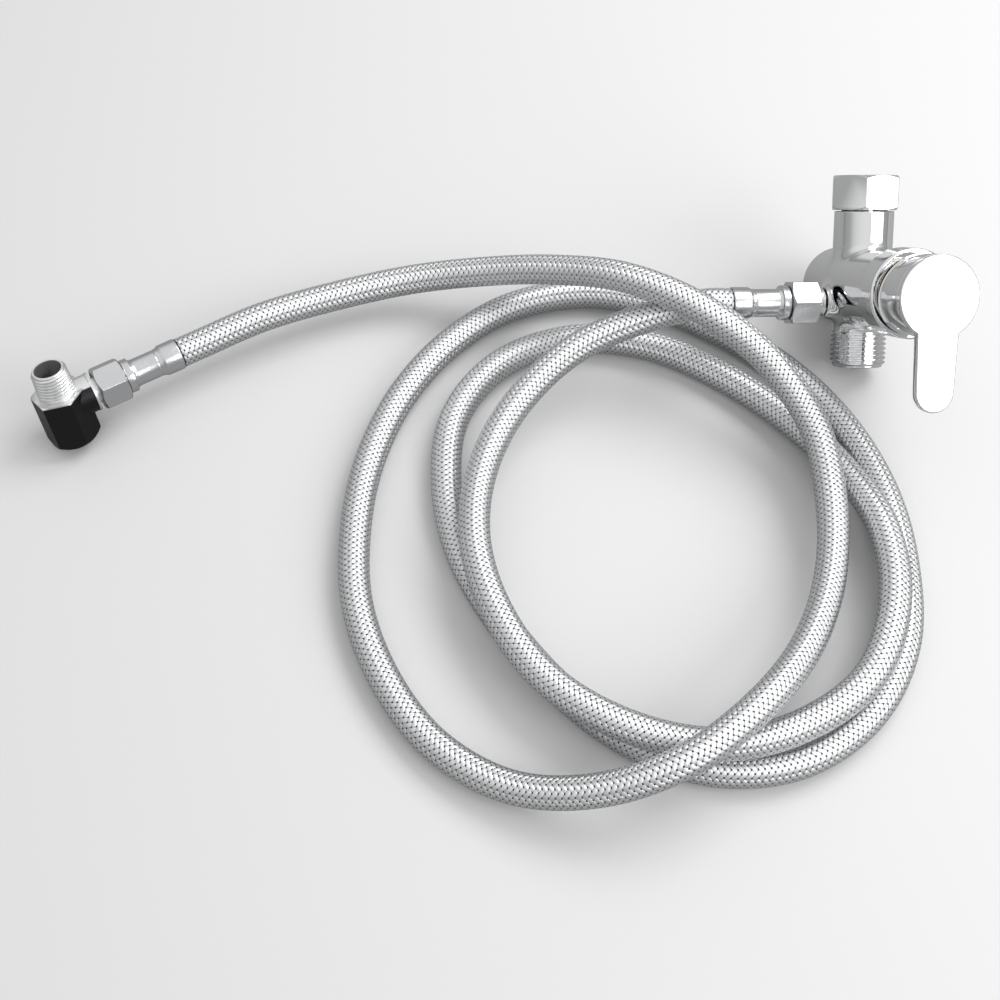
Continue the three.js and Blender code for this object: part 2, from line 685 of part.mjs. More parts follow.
function screwPlug() {
  const outer = -HUB_RADIUS + 0.5;
  return solid(rod(SCREW_RADIUS, outer, outer + PLUG_LENGTH, TINY_SIDES).translate(SCREW_X, 0, 0));
}

// A hose end about Z, with Z = 0 on the end face of the stub that it screws to.
const ferruleStart = HOSE_SEAL + HOSE_FLANGE + 2 * GAP + HOSE_NUT_LIP + 2 * GAP;
const ferruleEnd = ferruleStart + FERRULE_BEAD + FERRULE_NECK + FERRULE_RING;

function hoseEnd(name) {
  const flangeZ = HOSE_SEAL + 2 * GAP;
  const flangeEnd = flangeZ + HOSE_FLANGE;
  const flangeRadius = PORT_CREST - 0.5;
  const lipZ = flangeEnd + GAP;
  const nutBore = PORT_CREST + THREAD_GAP;
  const nut = cut(
    hexagon(HOSE_NUT_FLATS, lipZ + HOSE_NUT_LIP - HOSE_NUT_LENGTH, lipZ + HOSE_NUT_LIP, HOSE_NUT_TURN, 0.9),
    solid(rod(HOSE_TAIL_RADIUS + RUN, -HOSE_NUT_LENGTH, HOSE_NUT_LENGTH, SMALL_SIDES)),
    solid(rod(nutBore, -HOSE_NUT_LENGTH, lipZ, SMALL_SIDES)),
  );
  const bead = ferruleStart + FERRULE_BEAD;
  const neck = bead + FERRULE_NECK;
  const sleeve = turned([
    [HOSE_TAIL_RADIUS + GAP, ferruleStart], [FERRULE_BEAD_RADIUS - 1, ferruleStart],
    [FERRULE_BEAD_RADIUS, ferruleStart + 1], [FERRULE_BEAD_RADIUS, bead - 1],
    [FERRULE_NECK_RADIUS, bead + 0.4], [FERRULE_NECK_RADIUS, neck - 0.6],
    [FERRULE_RING_RADIUS, neck + 0.8], [FERRULE_RING_RADIUS, ferruleEnd - 0.5],
    [FERRULE_RING_RADIUS - 0.4, ferruleEnd], [HOSE_TAIL_RADIUS + GAP, ferruleEnd],
  ], 24);
  const tail = turned([
    [HOSE_TAIL_BORE, flangeZ], [flangeRadius, flangeZ], [flangeRadius, flangeEnd],
    [HOSE_TAIL_RADIUS, flangeEnd], [HOSE_TAIL_RADIUS, ferruleEnd], [HOSE_TAIL_BORE, ferruleEnd],
  ], SMALL_SIDES);
  const seal = ring(HOSE_TAIL_BORE, flangeRadius - 0.2, GAP, GAP + HOSE_SEAL, SMALL_SIDES);
  const end = new THREE.Group();
  end.add(
    part(`${name}_hose_seal`, solid(seal), RUBBER),
    part(`${name}_hose_tail`, solid(tail), STEEL),
    part(`${name}_hose_nut`, nut, SATIN_STEEL),
    part(`${name}_ferrule`, solid(sleeve), SATIN_STEEL),
  );
  return end;
}

function teeBody() {
  const corner = TEE_FLATS / Math.sqrt(3);
  const bar = solid(new THREE.CylinderGeometry(corner, corner, TEE_TOP + TEE_BOTTOM, 6)
    .rotateX(Math.PI / 2)
    .rotateZ(degrees(TEE_HEX_TURN))
    .translate(0, 0, (TEE_TOP - TEE_BOTTOM) / 2));
  const low = -TEE_BOTTOM;
  const envelope = solid(turned([
    [0, low], [corner - TEE_ROUND, low], [corner - TEE_ROUND * 0.3, low + TEE_ROUND * 0.3],
    [corner, low + TEE_ROUND], [corner, TEE_TOP - 0.5], [corner - 0.9, TEE_TOP], [0, TEE_TOP],
  ]));
  const threadStart = TEE_THREAD_END - 0.6 - TEE_TURNS * TEE_PITCH;
  const root = TEE_CREST - TEE_THREAD_DEPTH;
  const firstRoot = root + TEE_TAPER * TEE_TURNS * TEE_PITCH;
  const thread = [[0, 0], [firstRoot, 0]];
  thread.push(...ridges(TEE_CREST, TEE_THREAD_DEPTH, TEE_PITCH, TEE_TURNS, threadStart, TEE_TAPER));
  thread.push([root, TEE_THREAD_END], [0, TEE_THREAD_END]);
  const port = turned([
    [0, 0], [TEE_BOSS, 0], [TEE_BOSS, TEE_BOSS_END], [PORT_NECK, TEE_BOSS_END],
    [PORT_NECK, TEE_BOSS_END + 1.8], [PORT_CREST, TEE_BOSS_END + 2.2], [PORT_CREST, TEE_PORT_END - 0.6],
    [PORT_CREST - 0.5, TEE_PORT_END], [0, TEE_PORT_END],
  ], 24);
  return cut(
    joined(bar.intersect(envelope), solid(turned(thread)), solid(alongX(port))),
    solid(rod(TEE_BORE, -TEE_BOTTOM - 1, TEE_THREAD_END + 1)),
    solid(rod(TEE_SOCKET, -TEE_BOTTOM - 1, -TEE_BOTTOM + TEE_SOCKET_DEPTH)),
    solid(alongX(rod(PORT_BORE, 0, TEE_PORT_END + 1, SMALL_SIDES))),
  );
}

function hoseTube(route) {
  const section = roundSection(HOSE_RADIUS, HOSE_SIDES);
  return solid(new THREE.ExtrudeGeometry(section, { steps: HOSE_STEPS, extrudePath: route }));
}

// The valve, upright in its own frame, with the hose end on its port
const valve = new THREE.Group();
valve.add(part('valve_body', valveBody(), CHROME));
valve.add(...inletPieces());
valve.add(...checkValve('cold', INLET_BORE, CHECK_COLD_TOP));
valve.add(...fixedCartridgePieces());
valve.add(part('dome_ring', domeRing(), CHROME));

const { movingDisc, coupler, rotor } = movingCartridgePieces();
valve.add(
  part('moving_disc', movingDisc, CERAMIC),
  part('disc_coupler', coupler, GREY_PLASTIC),
  part('rotor', rotor, WHITE_PLASTIC),
  part('stem', stem(), BRASS),
  part('stem_pin', stemPin(), STEEL),
  part('handle', handle(), CHROME),
  part('lever_screw', leverScrew(), STEEL),
  part('screw_plug', screwPlug(), GREY_PLASTIC),
);

const portFrame = new THREE.Group();
portFrame.position.set(PORT_X, 0, PORT_Z);
portFrame.rotation.x = Math.PI / 2;
portFrame.add(...checkValve('hot', PORT_BORE, CHECK_HOT_TOP));
valve.add(portFrame);

valve.rotation.set(degrees(-LEAN_BACK), 0, degrees(-SPIN));
valve.updateMatrixWorld(true);
const valveBox = new THREE.Box3().setFromObject(valve, true);
const middle = valveBox.getCenter(new THREE.Vector3());
valve.position.set(-middle.x, -middle.y, -valveBox.min.z);

const valveHoseEnd = hoseEnd('valve');
valveHoseEnd.position.set(PORT_X, -PORT_END, PORT_Z);
valveHoseEnd.rotation.x = Math.PI / 2;
valve.add(valveHoseEnd);

// The tee, with the other hose end
const tee = new THREE.Group();
tee.add(part('tee_body', teeBody(), DARK_METAL));
tee.rotation.order = 'ZYX';
tee.rotation.set(degrees(-TEE_TILT), degrees(TEE_DROP), degrees(TEE_HEADING));
tee.updateMatrixWorld(true);
tee.position.set(TEE_AT[0], TEE_AT[1], -new THREE.Box3().setFromObject(tee, true).min.z);
const teeHoseEnd = hoseEnd('tee');
teeHoseEnd.position.set(TEE_PORT_END, 0, 0);
teeHoseEnd.rotation.y = Math.PI / 2;
tee.add(teeHoseEnd);

// The hose, from one ferrule's end face to the other's
function ferruleMouth(end) {
  end.updateWorldMatrix(true, false);
  const face = end.localToWorld(new THREE.Vector3(0, 0, ferruleEnd + GAP));
  const lead = end.localToWorld(new THREE.Vector3(0, 0, ferruleEnd + GAP + HOSE_LEAD));
  return { face, lead };
}

const start = ferruleMouth(teeHoseEnd);
const finishAt = ferruleMouth(valveHoseEnd);
const route = new THREE.CatmullRomCurve3([
  start.face,
  start.lead,
  ...HOSE_POINTS.map((point) => new THREE.Vector3(...point)),
  finishAt.lead,
  finishAt.face,
]);
route.arcLengthDivisions = 2000;

const mixingValve = new THREE.Group();
mixingValve.add(valve, tee, part('hose', hoseTube(route), BRAID));

export default mixingValve;
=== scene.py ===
# A single-lever mixing valve with its braided hose and tee adaptor, dressed for a studio picture.
# Pieces are built in millimetres in the frame of the part they belong to, then placed in metres.
# Only the hose is built in metres from the start.

import json
import math

import bmesh
import bpy
import numpy as np
from mathutils import Matrix, Vector

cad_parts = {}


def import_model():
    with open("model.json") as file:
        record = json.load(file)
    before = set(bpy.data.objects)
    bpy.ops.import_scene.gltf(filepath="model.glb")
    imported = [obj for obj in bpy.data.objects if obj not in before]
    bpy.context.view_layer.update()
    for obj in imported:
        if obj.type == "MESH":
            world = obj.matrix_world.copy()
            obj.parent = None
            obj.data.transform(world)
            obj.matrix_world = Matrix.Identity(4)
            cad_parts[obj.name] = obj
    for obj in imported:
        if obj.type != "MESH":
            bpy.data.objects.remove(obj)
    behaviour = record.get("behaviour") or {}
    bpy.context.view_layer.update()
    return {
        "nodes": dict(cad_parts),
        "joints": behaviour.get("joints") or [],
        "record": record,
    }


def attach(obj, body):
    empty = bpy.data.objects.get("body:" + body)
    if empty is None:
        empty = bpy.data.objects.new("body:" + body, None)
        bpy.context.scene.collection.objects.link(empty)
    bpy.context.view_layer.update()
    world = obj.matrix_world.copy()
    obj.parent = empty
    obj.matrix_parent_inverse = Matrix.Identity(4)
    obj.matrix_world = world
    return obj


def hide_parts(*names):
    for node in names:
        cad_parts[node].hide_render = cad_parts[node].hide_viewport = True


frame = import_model()
MM = 0.001

# Sizes from here on are in millimetres. Valve: X along the barrel, Z up the inlet neck
PIVOT_X = 44
BARREL_RADIUS = 14.5
BARREL_REAR = 24.5
BARREL_ROUND = 2
HOUSING_RADIUS = 16.2
HOUSING_START = 34
HOUSING_END = 46
HOUSING_ROUND = 0.8
BARREL_OVERLAP = 2
CHAMBER_RADIUS = 12.9
CHAMBER_FLOOR = 25.5
NECK_RADIUS = 11.2
NECK_TOP = 28.9
NECK_ROUND = 0.5
TAIL_RADIUS = 8
TAIL_STEP = 31.8
TAIL_GROOVE = 7.2
TAIL_TOP = 33.6
TAIL_ROUND = 0.2
INLET_BORE = 6.4
STUB_RADIUS = 9.4
STUB_END = 30.6
STUB_ROUND = 0.4
STUB_BORE = 7
STUB_BORE_TOP = 11.6
PORT_X = 1.2
PORT_Z = -5.6
PORT_END = 24.6
PORT_RADIUS = 5
PORT_ROUND = 0.3
PORT_COLLAR = 6.2
PORT_COLLAR_END = 16.1
PORT_COLLAR_ROUND = 0.6
PORT_BORE = 3.9
BORE_INNER_END = 3
BORE_ROUND = 0.2
BORE_EDGE = 0.5
HOUSING_FILLET = 1.2
FILLET = 3.2
PORT_FILLET = 4.5

# Cuts run past a face by the spare length, or right out of the piece
SPARE = 1
OPEN_END = 80

# How the casting's skin is drawn onto its shape: lengths in millimetres, and how often
VOXEL = 0.55
SKIN_ROUNDS = 8
SKIN_LONGEST_STEP = 0.5
SKIN_LEAST_SLOPE = 0.25
SLOPE_REACH = 0.02
TINY = 1e-9

# All hexagon nuts
NUT_EDGE_ROUND = 0.7
NUT_END_SPARE = 0.5
NUT_FACE_INSET = 0.25
NUT_BEVEL = 0.16
CHAMFER_ANGLE = math.radians(32)
CHAMFER_SPARE = 0.05
CHAMFER_SIDES = 192

# Swivel nut
NUT_FLATS = 24
NUT_TURN = math.radians(99)
NUT_BOTTOM = 29.2
NUT_TOP = 42.2
NUT_BORE = 8.35
NUT_THREAD = 10
NUT_THREAD_DEPTH = 0.5
NUT_THREAD_START = 36.4
NUT_THREAD_END_GAP = 0.6
NUT_THREAD_SLACK = 0.05
NUT_THREAD_BACKING = 0.3
NUT_LIP = 2.5

# Lever
HUB_RADIUS = 14.7
HUB_REAR_LOW = 46.5
HUB_REAR_HIGH = 52.5
HUB_CAVITY = 13.5
HUB_SIDES = 160
HUB_START_SPARE = 3
HUB_EDGE = 0.05
HUB_BEVEL = 0.3
REAR_CUT = 40
PLATE_BACK = 64
PLATE_THICKNESS = 3
PLATE_EDGE = 0.6
PLATE_EDGE_STEPS = 5
PLATE_OVERLAP = 0.4
LEVER_LENGTH = 33
LEVER_HALF_WIDTH = 7.7
LEVER_TIP_HALF = 7.1
LEVER_ARC_STEPS = 72
LEVER_TIP_STEPS = 32
BOSS_RADIUS = 4.9
BOSS_BACK = 54.6
BOSS_EDGE = 0.3
BOSS_SIDES = 64
STEM_WIDTH = 4.6
STEM_DEPTH = 5
STEM_TIP = 61.2
SOCKET_GAP = 0.3
SCREW_X = 60
SCREW_HOLE = 1.9
SCREW_SIDES = 32

# Dome ring between the housing and the lever
DOME_RADIUS = 13
DOME_WALL = 1
DOME_HOLE = 9.6
DOME_START = 46.5
DOME_STEPS = 24

# Threads: how a wave's top and foot are flattened, and the turns over which a thread fades
THREAD_SIDES = 144
THREAD_ROWS_PER_TURN = 12
THREAD_GAIN = 1.35
THREAD_FOOT = 0.12
THREAD_FADE_IN = 0.7
THREAD_FADE_OUT = 0.5

# Outlet thread
OUTLET_CREST = 10.48
OUTLET_DEPTH = 1.1
OUTLET_PITCH = 1.81
OUTLET_LENGTH = 13.4
OUTLET_TIP_GAP = 0.5
OUTLET_BACKING = 0.4

# Hose ends, from the face of the stub
HOSE_NUT_FLATS = 15.6
HOSE_NUT_TURN = math.radians(62.5)
HOSE_NUT_FROM = -5.4
HOSE_NUT_TO = 5.6
HOSE_NUT_BORE = 6.88
HOSE_NUT_HOLE = 4.55
HOSE_NUT_LIP = 4.2
HOSE_NUT_CUT = 20
HOSE_END_SIDES = 96
FERRULE_START = 5.9
FERRULE_END = 28.4
FERRULE_BORE = 4.5
BEAD_RADIUS = 6.6
BEAD_END = 8.8
WAIST_RADIUS = 5.3
WAIST_START = 10.2
WAIST_END = 18.6
CRIMP_START = 21.6
CRIMP_RADIUS = 6.15
FERRULE_EDGE = 0.3
HOSE_GAP = 0.3
HOSE_LEAD = 9

# Tee
TEE_FLATS = 18
TEE_HEX_TURN = math.radians(99.5)
TEE_TOP = 6.3
TEE_BOTTOM = 16
TEE_ROUND = 2.6
TEE_EDGE_ROUND = 0.8
TEE_END_SPARE = 0.5
TEE_CORNER_SPARE = 0.02
TEE_LAND = 0.5
TEE_TOP_CHAMFER = 0.9
TEE_RIM_ROUND = 1.4
TEE_SIDES = 160
TEE_BEVEL = 0.2
TEE_CUT = 30
TEE_THREAD_END = 17.4
TEE_THREAD_TIP = 0.3
TEE_THREAD_TIP_GAP = 0.4
TEE_THREAD_BACKING = 0.3
TEE_CREST = 6.65
TEE_TAPER = 0.055
TEE_DEPTH = 0.55
TEE_PITCH = 1.34
TEE_LENGTH = 10.6
TEE_BORE = 5.2
TEE_SOCKET = 7.4
TEE_SOCKET_DEPTH = 9
TEE_BOSS = 7.6
TEE_BOSS_END = 12.6
TEE_RING = 0.9
TEE_RING_STEP = 0.2
TEE_RING_SLOPE = 0.3
TEE_PORT_END = 19.4
TEE_PORT_CREST = 6.58
TEE_PORT_NECK = 1.8
TEE_PORT_THREAD_START = 2.2
TEE_PORT_CUT = 40
TEE_PORT_SIDES = 64
TEE_SHINE_START = 0.6
TEE_SHINE_FULL = 0.4
TEE_RING_BLEND = 0.1

# Hose and its braid
HOSE_RADIUS = 5.75
HOSE_RING_STEP = 0.9
HOSE_SIDES = 40
ROUTE_STEPS = 24
BRAID_ROWS = 12
BRAID_STEP = 2.2
BRAID_WIRES = 5
BRAID_OVER = 2
STRAND_CROWN = 0.6
STRAND_RELIEF = 0.5
WIRE_RELIEF = -0.06
HOLE_RELIEF = 0.5

# Middle line of the hose over the table, from the tee's ferrule to the valve's, in millimetres.
# A script set them about 30 mm apart on a route that it had worked out from a hand trace.
HOSE_POINTS = [
    (-233, 11, 15.5), (-205, 23, 13.5), (-175, 30, 15), (-146, 28, 22.5),
    (-118, 20, 33.5), (-92, 8, 43.5), (-65, -7, 44), (-41, -23, 34.5),
    (-24, -46, 23.5), (-20, -75, 17.5), (-24, -105, 17), (-36, -133, 22),
    (-55, -157, 28.5), (-79, -175, 27.5), (-107, -182, 18), (-136, -178, 9),
    (-162, -162, 6), (-180, -138, 6), (-191, -109, 6), (-193, -79, 6),
    (-189, -49, 6), (-178, -20, 6), (-160, 5, 6), (-136, 23, 6),
    (-106, 30, 6), (-76, 24, 6), (-49, 9, 6), (-26, -10, 6),
    (-8, -35, 6), (3, -64, 6), (6, -94, 6), (2, -125, 6),
    (-13, -151, 6), (-38, -168, 6), (-68, -171, 6), (-97, -160, 6),
    (-120, -141, 6), (-139, -117, 6), (-154, -89, 6), (-160, -60, 6),
    (-157, -29, 6), (-140, -5, 6), (-112, 7, 6), (-81, 4, 6),
    (-54, -10, 6), (-31, -30, 7), (-13, -55, 10.5), (-2, -83, 15.5),
    (-2, -113, 17), (-14, -141, 16), (-39, -159, 15.5), (-68, -166, 17),
    (-98, -160, 18.5), (-124, -143, 18), (-141, -118, 18.5), (-149, -89, 18),
    (-146, -58, 17), (-133, -31, 19), (-111, -11, 25.5), (-83, -1, 32),
]

# Camera, in metres: the picture looks down on the table at 60 degrees
CAMERA_TARGET = Vector((-0.140, -0.0628, 0))
CAMERA_ELEVATION = math.radians(60)
CAMERA_DISTANCE = 0.5564
CAMERA_LENS = 53.28
CAMERA_SENSOR = 36
CAMERA_NEAR = 0.01

# Floor: how grey it is, and how grey it looks in the metal
FLOOR_HALF = 6
FLOOR_GREY = 0.71
FLOOR_GREY_IN_METAL = 0.32
FLOOR_ROUGHNESS = 0.9
FLOOR_SHINE = 0.1

# Sky: heights as the sine of the angle over the horizon, each with its brightness
SKY = [(0.0, 0.4), (0.3, 0.5), (0.5, 0.8), (0.75, 1.0)]
SKY_BEHIND = 1.2
SKY_STRENGTH = 0.8

# Lights: place and aim in metres, width and height in metres, power in watts
KEY_LIGHT = ((0.35, 0.35, 0.85), (-0.1, -0.05, 0), 0.7, 0.5, 5)
FRONT_LIGHT = ((0.68, -0.5, 0.63), (0, -0.03, 0.07), 0.75, 0.62, 4.5)

joints = {joint["name"]: joint for joint in frame["joints"]}


def joint_place(name):
    return Vector(joints[name]["pos_m"])


def joint_axis(name):
    return Vector(joints[name]["axis"]).normalized()


def frame_at(origin, x_axis, z_axis):
    """Matrix from millimetres in a part's own frame to metres on the table."""
    z_axis = (z_axis - x_axis * z_axis.dot(x_axis)).normalized()
    y_axis = z_axis.cross(x_axis)
    turn = Matrix((x_axis, y_axis, z_axis)).transposed().to_4x4()
    return Matrix.Translation(origin) @ turn @ Matrix.Scale(MM, 4)


lever_axis = joint_axis("handle_turn")
neck_axis = joint_axis("inlet_nut_turn")
VALVE = frame_at(joint_place("handle_turn") - lever_axis * PIVOT_X * MM, lever_axis, neck_axis)
VALVE_HOSE = frame_at(
    joint_place("valve_hose_nut_turn"), lever_axis, joint_axis("valve_hose_nut_turn")
)
tee_mount = next(m for m in frame["record"]["mounts"] if m["name"] == "tee_face")
tee_up = Vector(tee_mount["axis"])
tee_port = joint_axis("tee_hose_nut_turn")
TEE_HOSE = frame_at(joint_place("tee_hose_nut_turn"), -tee_up, tee_port)
TEE = frame_at(joint_place("tee_hose_nut_turn") - tee_port * TEE_PORT_END * MM, tee_port, tee_up)
ALONG_X = Matrix.Rotation(math.pi / 2, 4, "Y")
ALONG_MINUS_Y = Matrix.Rotation(math.pi / 2, 4, "X")


# Mesh helpers


def rounded(outline, radius, steps=4):
    """The outline's corners rounded. One that starts on the axis stays open there."""
    straight = math.radians(170)
    most_of_side = 0.45
    points = [Vector(point) for point in outline]
    on_axis = points[0].x == 0
    result = []
    for i, corner in enumerate(points):
        if on_axis and i in (0, len(points) - 1):
            result.append(tuple(corner))
            continue
        before = points[i - 1] - corner
        after = points[(i + 1) % len(points)] - corner
        angle = before.angle(after)
        if angle > straight:
            result.append(tuple(corner))
            continue
        reach = min(
            radius / math.tan(angle / 2),
            most_of_side * before.length,
            most_of_side * after.length,
        )
        first = corner + before.normalized() * reach
        last = corner + after.normalized() * reach
        for step in range(steps + 1):
            t = step / steps
            point = (1 - t) ** 2 * first + 2 * t * (1 - t) * corner + t * t * last
            result.append(tuple(point))
    return result


def angles_of(sides):
    return [2 * math.pi * i / sides for i in range(sides)]


def circle(mesh, radius, z, sides):
    """Points of a circle about Z."""
    return [
        mesh.verts.new((radius * math.cos(a), radius * math.sin(a), z)) for a in angles_of(sides)
    ]


def wall(mesh, low, high):
    """Faces between two rings that have the same number of points."""
    count = len(low)
    return [
        mesh.faces.new([low[i], low[(i + 1) % count], high[(i + 1) % count], high[i]])
        for i in range(count)
    ]


def turned(outline, sides=128):
    """Closed solid turned about Z from an outline of (radius, z).

    The outline is closed, or starts and ends on the axis.
    """
    mesh = bmesh.new()
    rings = []
    for radius, z in outline:
        if radius <= 0:
            rings.append([mesh.verts.new((0, 0, z))] * sides)
        else:
            rings.append(circle(mesh, radius, z, sides))
    pairs = list(zip(rings, rings[1:]))
    if outline[0][0] > 0:
        pairs.append((rings[-1], rings[0]))
    for low, high in pairs:
        for i in range(sides):
            corners = [low[i], low[(i + 1) % sides], high[(i + 1) % sides], high[i]]
            unique = list(dict.fromkeys(corners))
            if len(unique) > 2:
                mesh.faces.new(unique)
    bmesh.ops.recalc_face_normals(mesh, faces=mesh.faces)
    return mesh


def prism(points, low, high):
    """Closed solid between two heights over an outline of (x, y)."""
    mesh = bmesh.new()
    bottom = [mesh.verts.new((x, y, low)) for x, y in points]
    top = [mesh.verts.new((x, y, high)) for x, y in points]
    mesh.faces.new(list(reversed(bottom)))
    mesh.faces.new(top)
    wall(mesh, bottom, top)
    bmesh.ops.recalc_face_normals(mesh, faces=mesh.faces)
    return mesh


def block(size, centre):
    mesh = bmesh.new()
    bmesh.ops.create_cube(mesh, size=1)
    bmesh.ops.scale(mesh, vec=size, verts=mesh.verts)
    bmesh.ops.translate(mesh, vec=centre, verts=mesh.verts)
    return mesh


def ball(radius, centre, sides=96):
    mesh = bmesh.new()
    bmesh.ops.create_uvsphere(mesh, u_segments=sides, v_segments=sides // 2, radius=radius)
    bmesh.ops.translate(mesh, vec=centre, verts=mesh.verts)
    return mesh


def moved(mesh, matrix):
    mesh.transform(matrix)
    return mesh


def hexagon(flats, edge_round, turn):
    """Outline of a hexagon with its six edges a little rounded."""
    corner = flats / math.sqrt(3)
    corners = [
        (corner * math.cos(turn + i * math.pi / 3), corner * math.sin(turn + i * math.pi / 3))
        for i in range(6)
    ]
    return rounded(corners, edge_round)


def hole(radius, low, high, sides=128):
    return turned([(0, low), (radius, low), (radius, high), (0, high)], sides)


def object_of(mesh, name):
    data = bpy.data.meshes.new(name)
    mesh.to_mesh(data)
    mesh.free()
    made = bpy.data.objects.new(name, data)
    bpy.context.scene.collection.objects.link(made)
    return made


def apply_modifiers(made):
    evaluated = made.evaluated_get(bpy.context.evaluated_depsgraph_get())
    data = bpy.data.meshes.new_from_object(evaluated)
    made.modifiers.clear()
    old = made.data
    made.data = data
    bpy.data.meshes.remove(old)
    return made


def combine(made, operation, *meshes):
    """Joins solids to an object, cuts them away (DIFFERENCE) or keeps the overlap (INTERSECT)."""
    for mesh in meshes:
        other = object_of(mesh, made.name + "_tool")
        modifier = made.modifiers.new("shape", "BOOLEAN")
        modifier.operation = operation
        modifier.solver = "EXACT"
        modifier.object = other
        apply_modifiers(made)
        bpy.data.objects.remove(other)
    return made


def bevelled(made, width, segments, angle):
    modifier = made.modifiers.new("edge", "BEVEL")
    modifier.width = width
    modifier.segments = segments
    modifier.limit_method = "ANGLE"
    modifier.angle_limit = math.radians(angle)
    modifier.use_clamp_overlap = True
    return apply_modifiers(made)


def dressed(made, matrix, material, body, replaces=(), sharp=35):
    """Places a piece, shades it smooth up to its sharp edges, and ties it to its body."""
    made.data.transform(matrix)
    made.data.materials.clear()
    made.data.materials.append(material)
    made.data.shade_smooth()
    if sharp:
        made.data.set_sharp_from_angle(angle=math.radians(sharp))
    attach(made, body)
    if replaces:
        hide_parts(*replaces)
    return made


def thread(crest, depth, pitch, start, length, inner, taper=0.0):
    """Right-handed thread as one closed sleeve about Z.

    It fades at both ends. With a taper it is wider at its start.
    """
    rows = int(length / pitch * THREAD_ROWS_PER_TURN)
    mesh = bmesh.new()

    def radius_at(z, angle):
        turn = (z / pitch - angle / (2 * math.pi)) % 1
        wave = 0.5 - 0.5 * math.cos(2 * math.pi * turn)
        ridge = min(1, max(0, THREAD_GAIN * wave - THREAD_FOOT))
        fade = min(1, z / (THREAD_FADE_IN * pitch), (length - z) / (THREAD_FADE_OUT * pitch))
        return crest - depth + depth * ridge * max(0, fade) + taper * (length - z)

    rings = []
    for row in range(rows + 1):
        z = length * row / rows
        ring = []
        for angle in angles_of(THREAD_SIDES):
            radius = radius_at(z, angle)
            place = (radius * math.cos(angle), radius * math.sin(angle), start + z)
            ring.append(mesh.verts.new(place))
        rings.append(ring)
    for z in (start + length, start):
        rings.append(circle(mesh, inner, z, THREAD_SIDES))
    for low, high in zip(rings, rings[1:] + rings[:1]):
        wall(mesh, low, high)
    bmesh.ops.recalc_face_normals(mesh, faces=mesh.faces)
    return mesh


# Materials


def grey(brightness):
    return (brightness, brightness, brightness, 1)


class Shader:
    """A node material with one metal or plastic shader, and helpers to drive it."""

    def __init__(self, name, color, metallic, roughness):
        self.material = bpy.data.materials.new(name)
        self.material.use_nodes = True
        self.nodes = self.material.node_tree.nodes
        self.links = self.material.node_tree.links
        self.shader = self.nodes["Principled BSDF"]
        self.shader.inputs["Base Color"].default_value = (*color, 1)
        self.shader.inputs["Metallic"].default_value = metallic
        self.shader.inputs["Roughness"].default_value = roughness
        self.place = self.nodes.new("ShaderNodeTexCoord").outputs["Object"]

    def local(self, matrix, stretch=(1, 1, 1)):
        """Coordinates in a part's own frame, in millimetres, stretched."""
        inverse = matrix.inverted()
        location, rotation, scale = inverse.decompose()
        mapping = self.nodes.new("ShaderNodeMapping")
        mapping.inputs["Location"].default_value = location
        mapping.inputs["Rotation"].default_value = rotation.to_euler()
        mapping.inputs["Scale"].default_value = scale
        self.links.new(self.place, mapping.inputs["Vector"])
        second = self.nodes.new("ShaderNodeMapping")
        second.inputs["Scale"].default_value = stretch
        self.links.new(mapping.outputs["Vector"], second.inputs["Vector"])
        return second.outputs["Vector"]

    def noise(self, scale, detail, vector=None):
        node = self.nodes.new("ShaderNodeTexNoise")
        node.inputs["Scale"].default_value = scale
        node.inputs["Detail"].default_value = detail
        self.links.new(vector or self.place, node.inputs["Vector"])
        return node.outputs["Fac"]

    def ranged(self, value, low, high, start=0.3, end=0.7):
        node = self.nodes.new("ShaderNodeMapRange")
        node.inputs["From Min"].default_value = start
        node.inputs["From Max"].default_value = end
        node.inputs["To Min"].default_value = low
        node.inputs["To Max"].default_value = high
        self.links.new(value, node.inputs["Value"])
        return node.outputs["Result"]

    def math(self, operation, first, second=0.0):
        node = self.nodes.new("ShaderNodeMath")
        node.operation = operation
        for socket, value in zip(node.inputs, (first, second)):
            if isinstance(value, (int, float)):
                socket.default_value = value
            else:
                self.links.new(value, socket)
        return node.outputs[0]

    def roughness(self, value):
        self.links.new(value, self.shader.inputs["Roughness"])

    def bump(self, height, distance, strength):
        node = self.nodes.new("ShaderNodeBump")
        node.inputs["Strength"].default_value = strength
        node.inputs["Distance"].default_value = distance
        self.links.new(height, node.inputs["Height"])
        self.links.new(node.outputs["Normal"], self.shader.inputs["Normal"])

    def color_between(self, value, low, high):
        ramp = self.nodes.new("ShaderNodeValToRGB")
        ramp.color_ramp.elements[0].color = (*low, 1)
        ramp.color_ramp.elements[1].color = (*high, 1)
        self.links.new(value, ramp.inputs["Fac"])
        self.links.new(ramp.outputs["Color"], self.shader.inputs["Base Color"])


def chrome():
    shader = Shader("chrome", (0.88, 0.885, 0.89), metallic=1, roughness=0.05)
    shader.roughness(shader.ranged(shader.noise(90, detail=4), 0.03, 0.1))
    shader.bump(shader.noise(160, detail=2), distance=0.00003, strength=0.25)
    return shader.material


def turned_steel(name, matrix):
    """Bright steel with the fine rings of a lathe about the part's Z."""
    roughness = 0.2
    shader = Shader(name, (0.72, 0.73, 0.74), 1, roughness)
    flat_grain = shader.local(matrix, stretch=(0.15, 0.15, 9))
    rings = shader.noise(1, detail=3, vector=flat_grain)
    shader.roughness(shader.ranged(rings, roughness * 0.7, roughness * 1.4))
    shader.bump(rings, distance=0.00004, strength=0.5)
    return shader.material


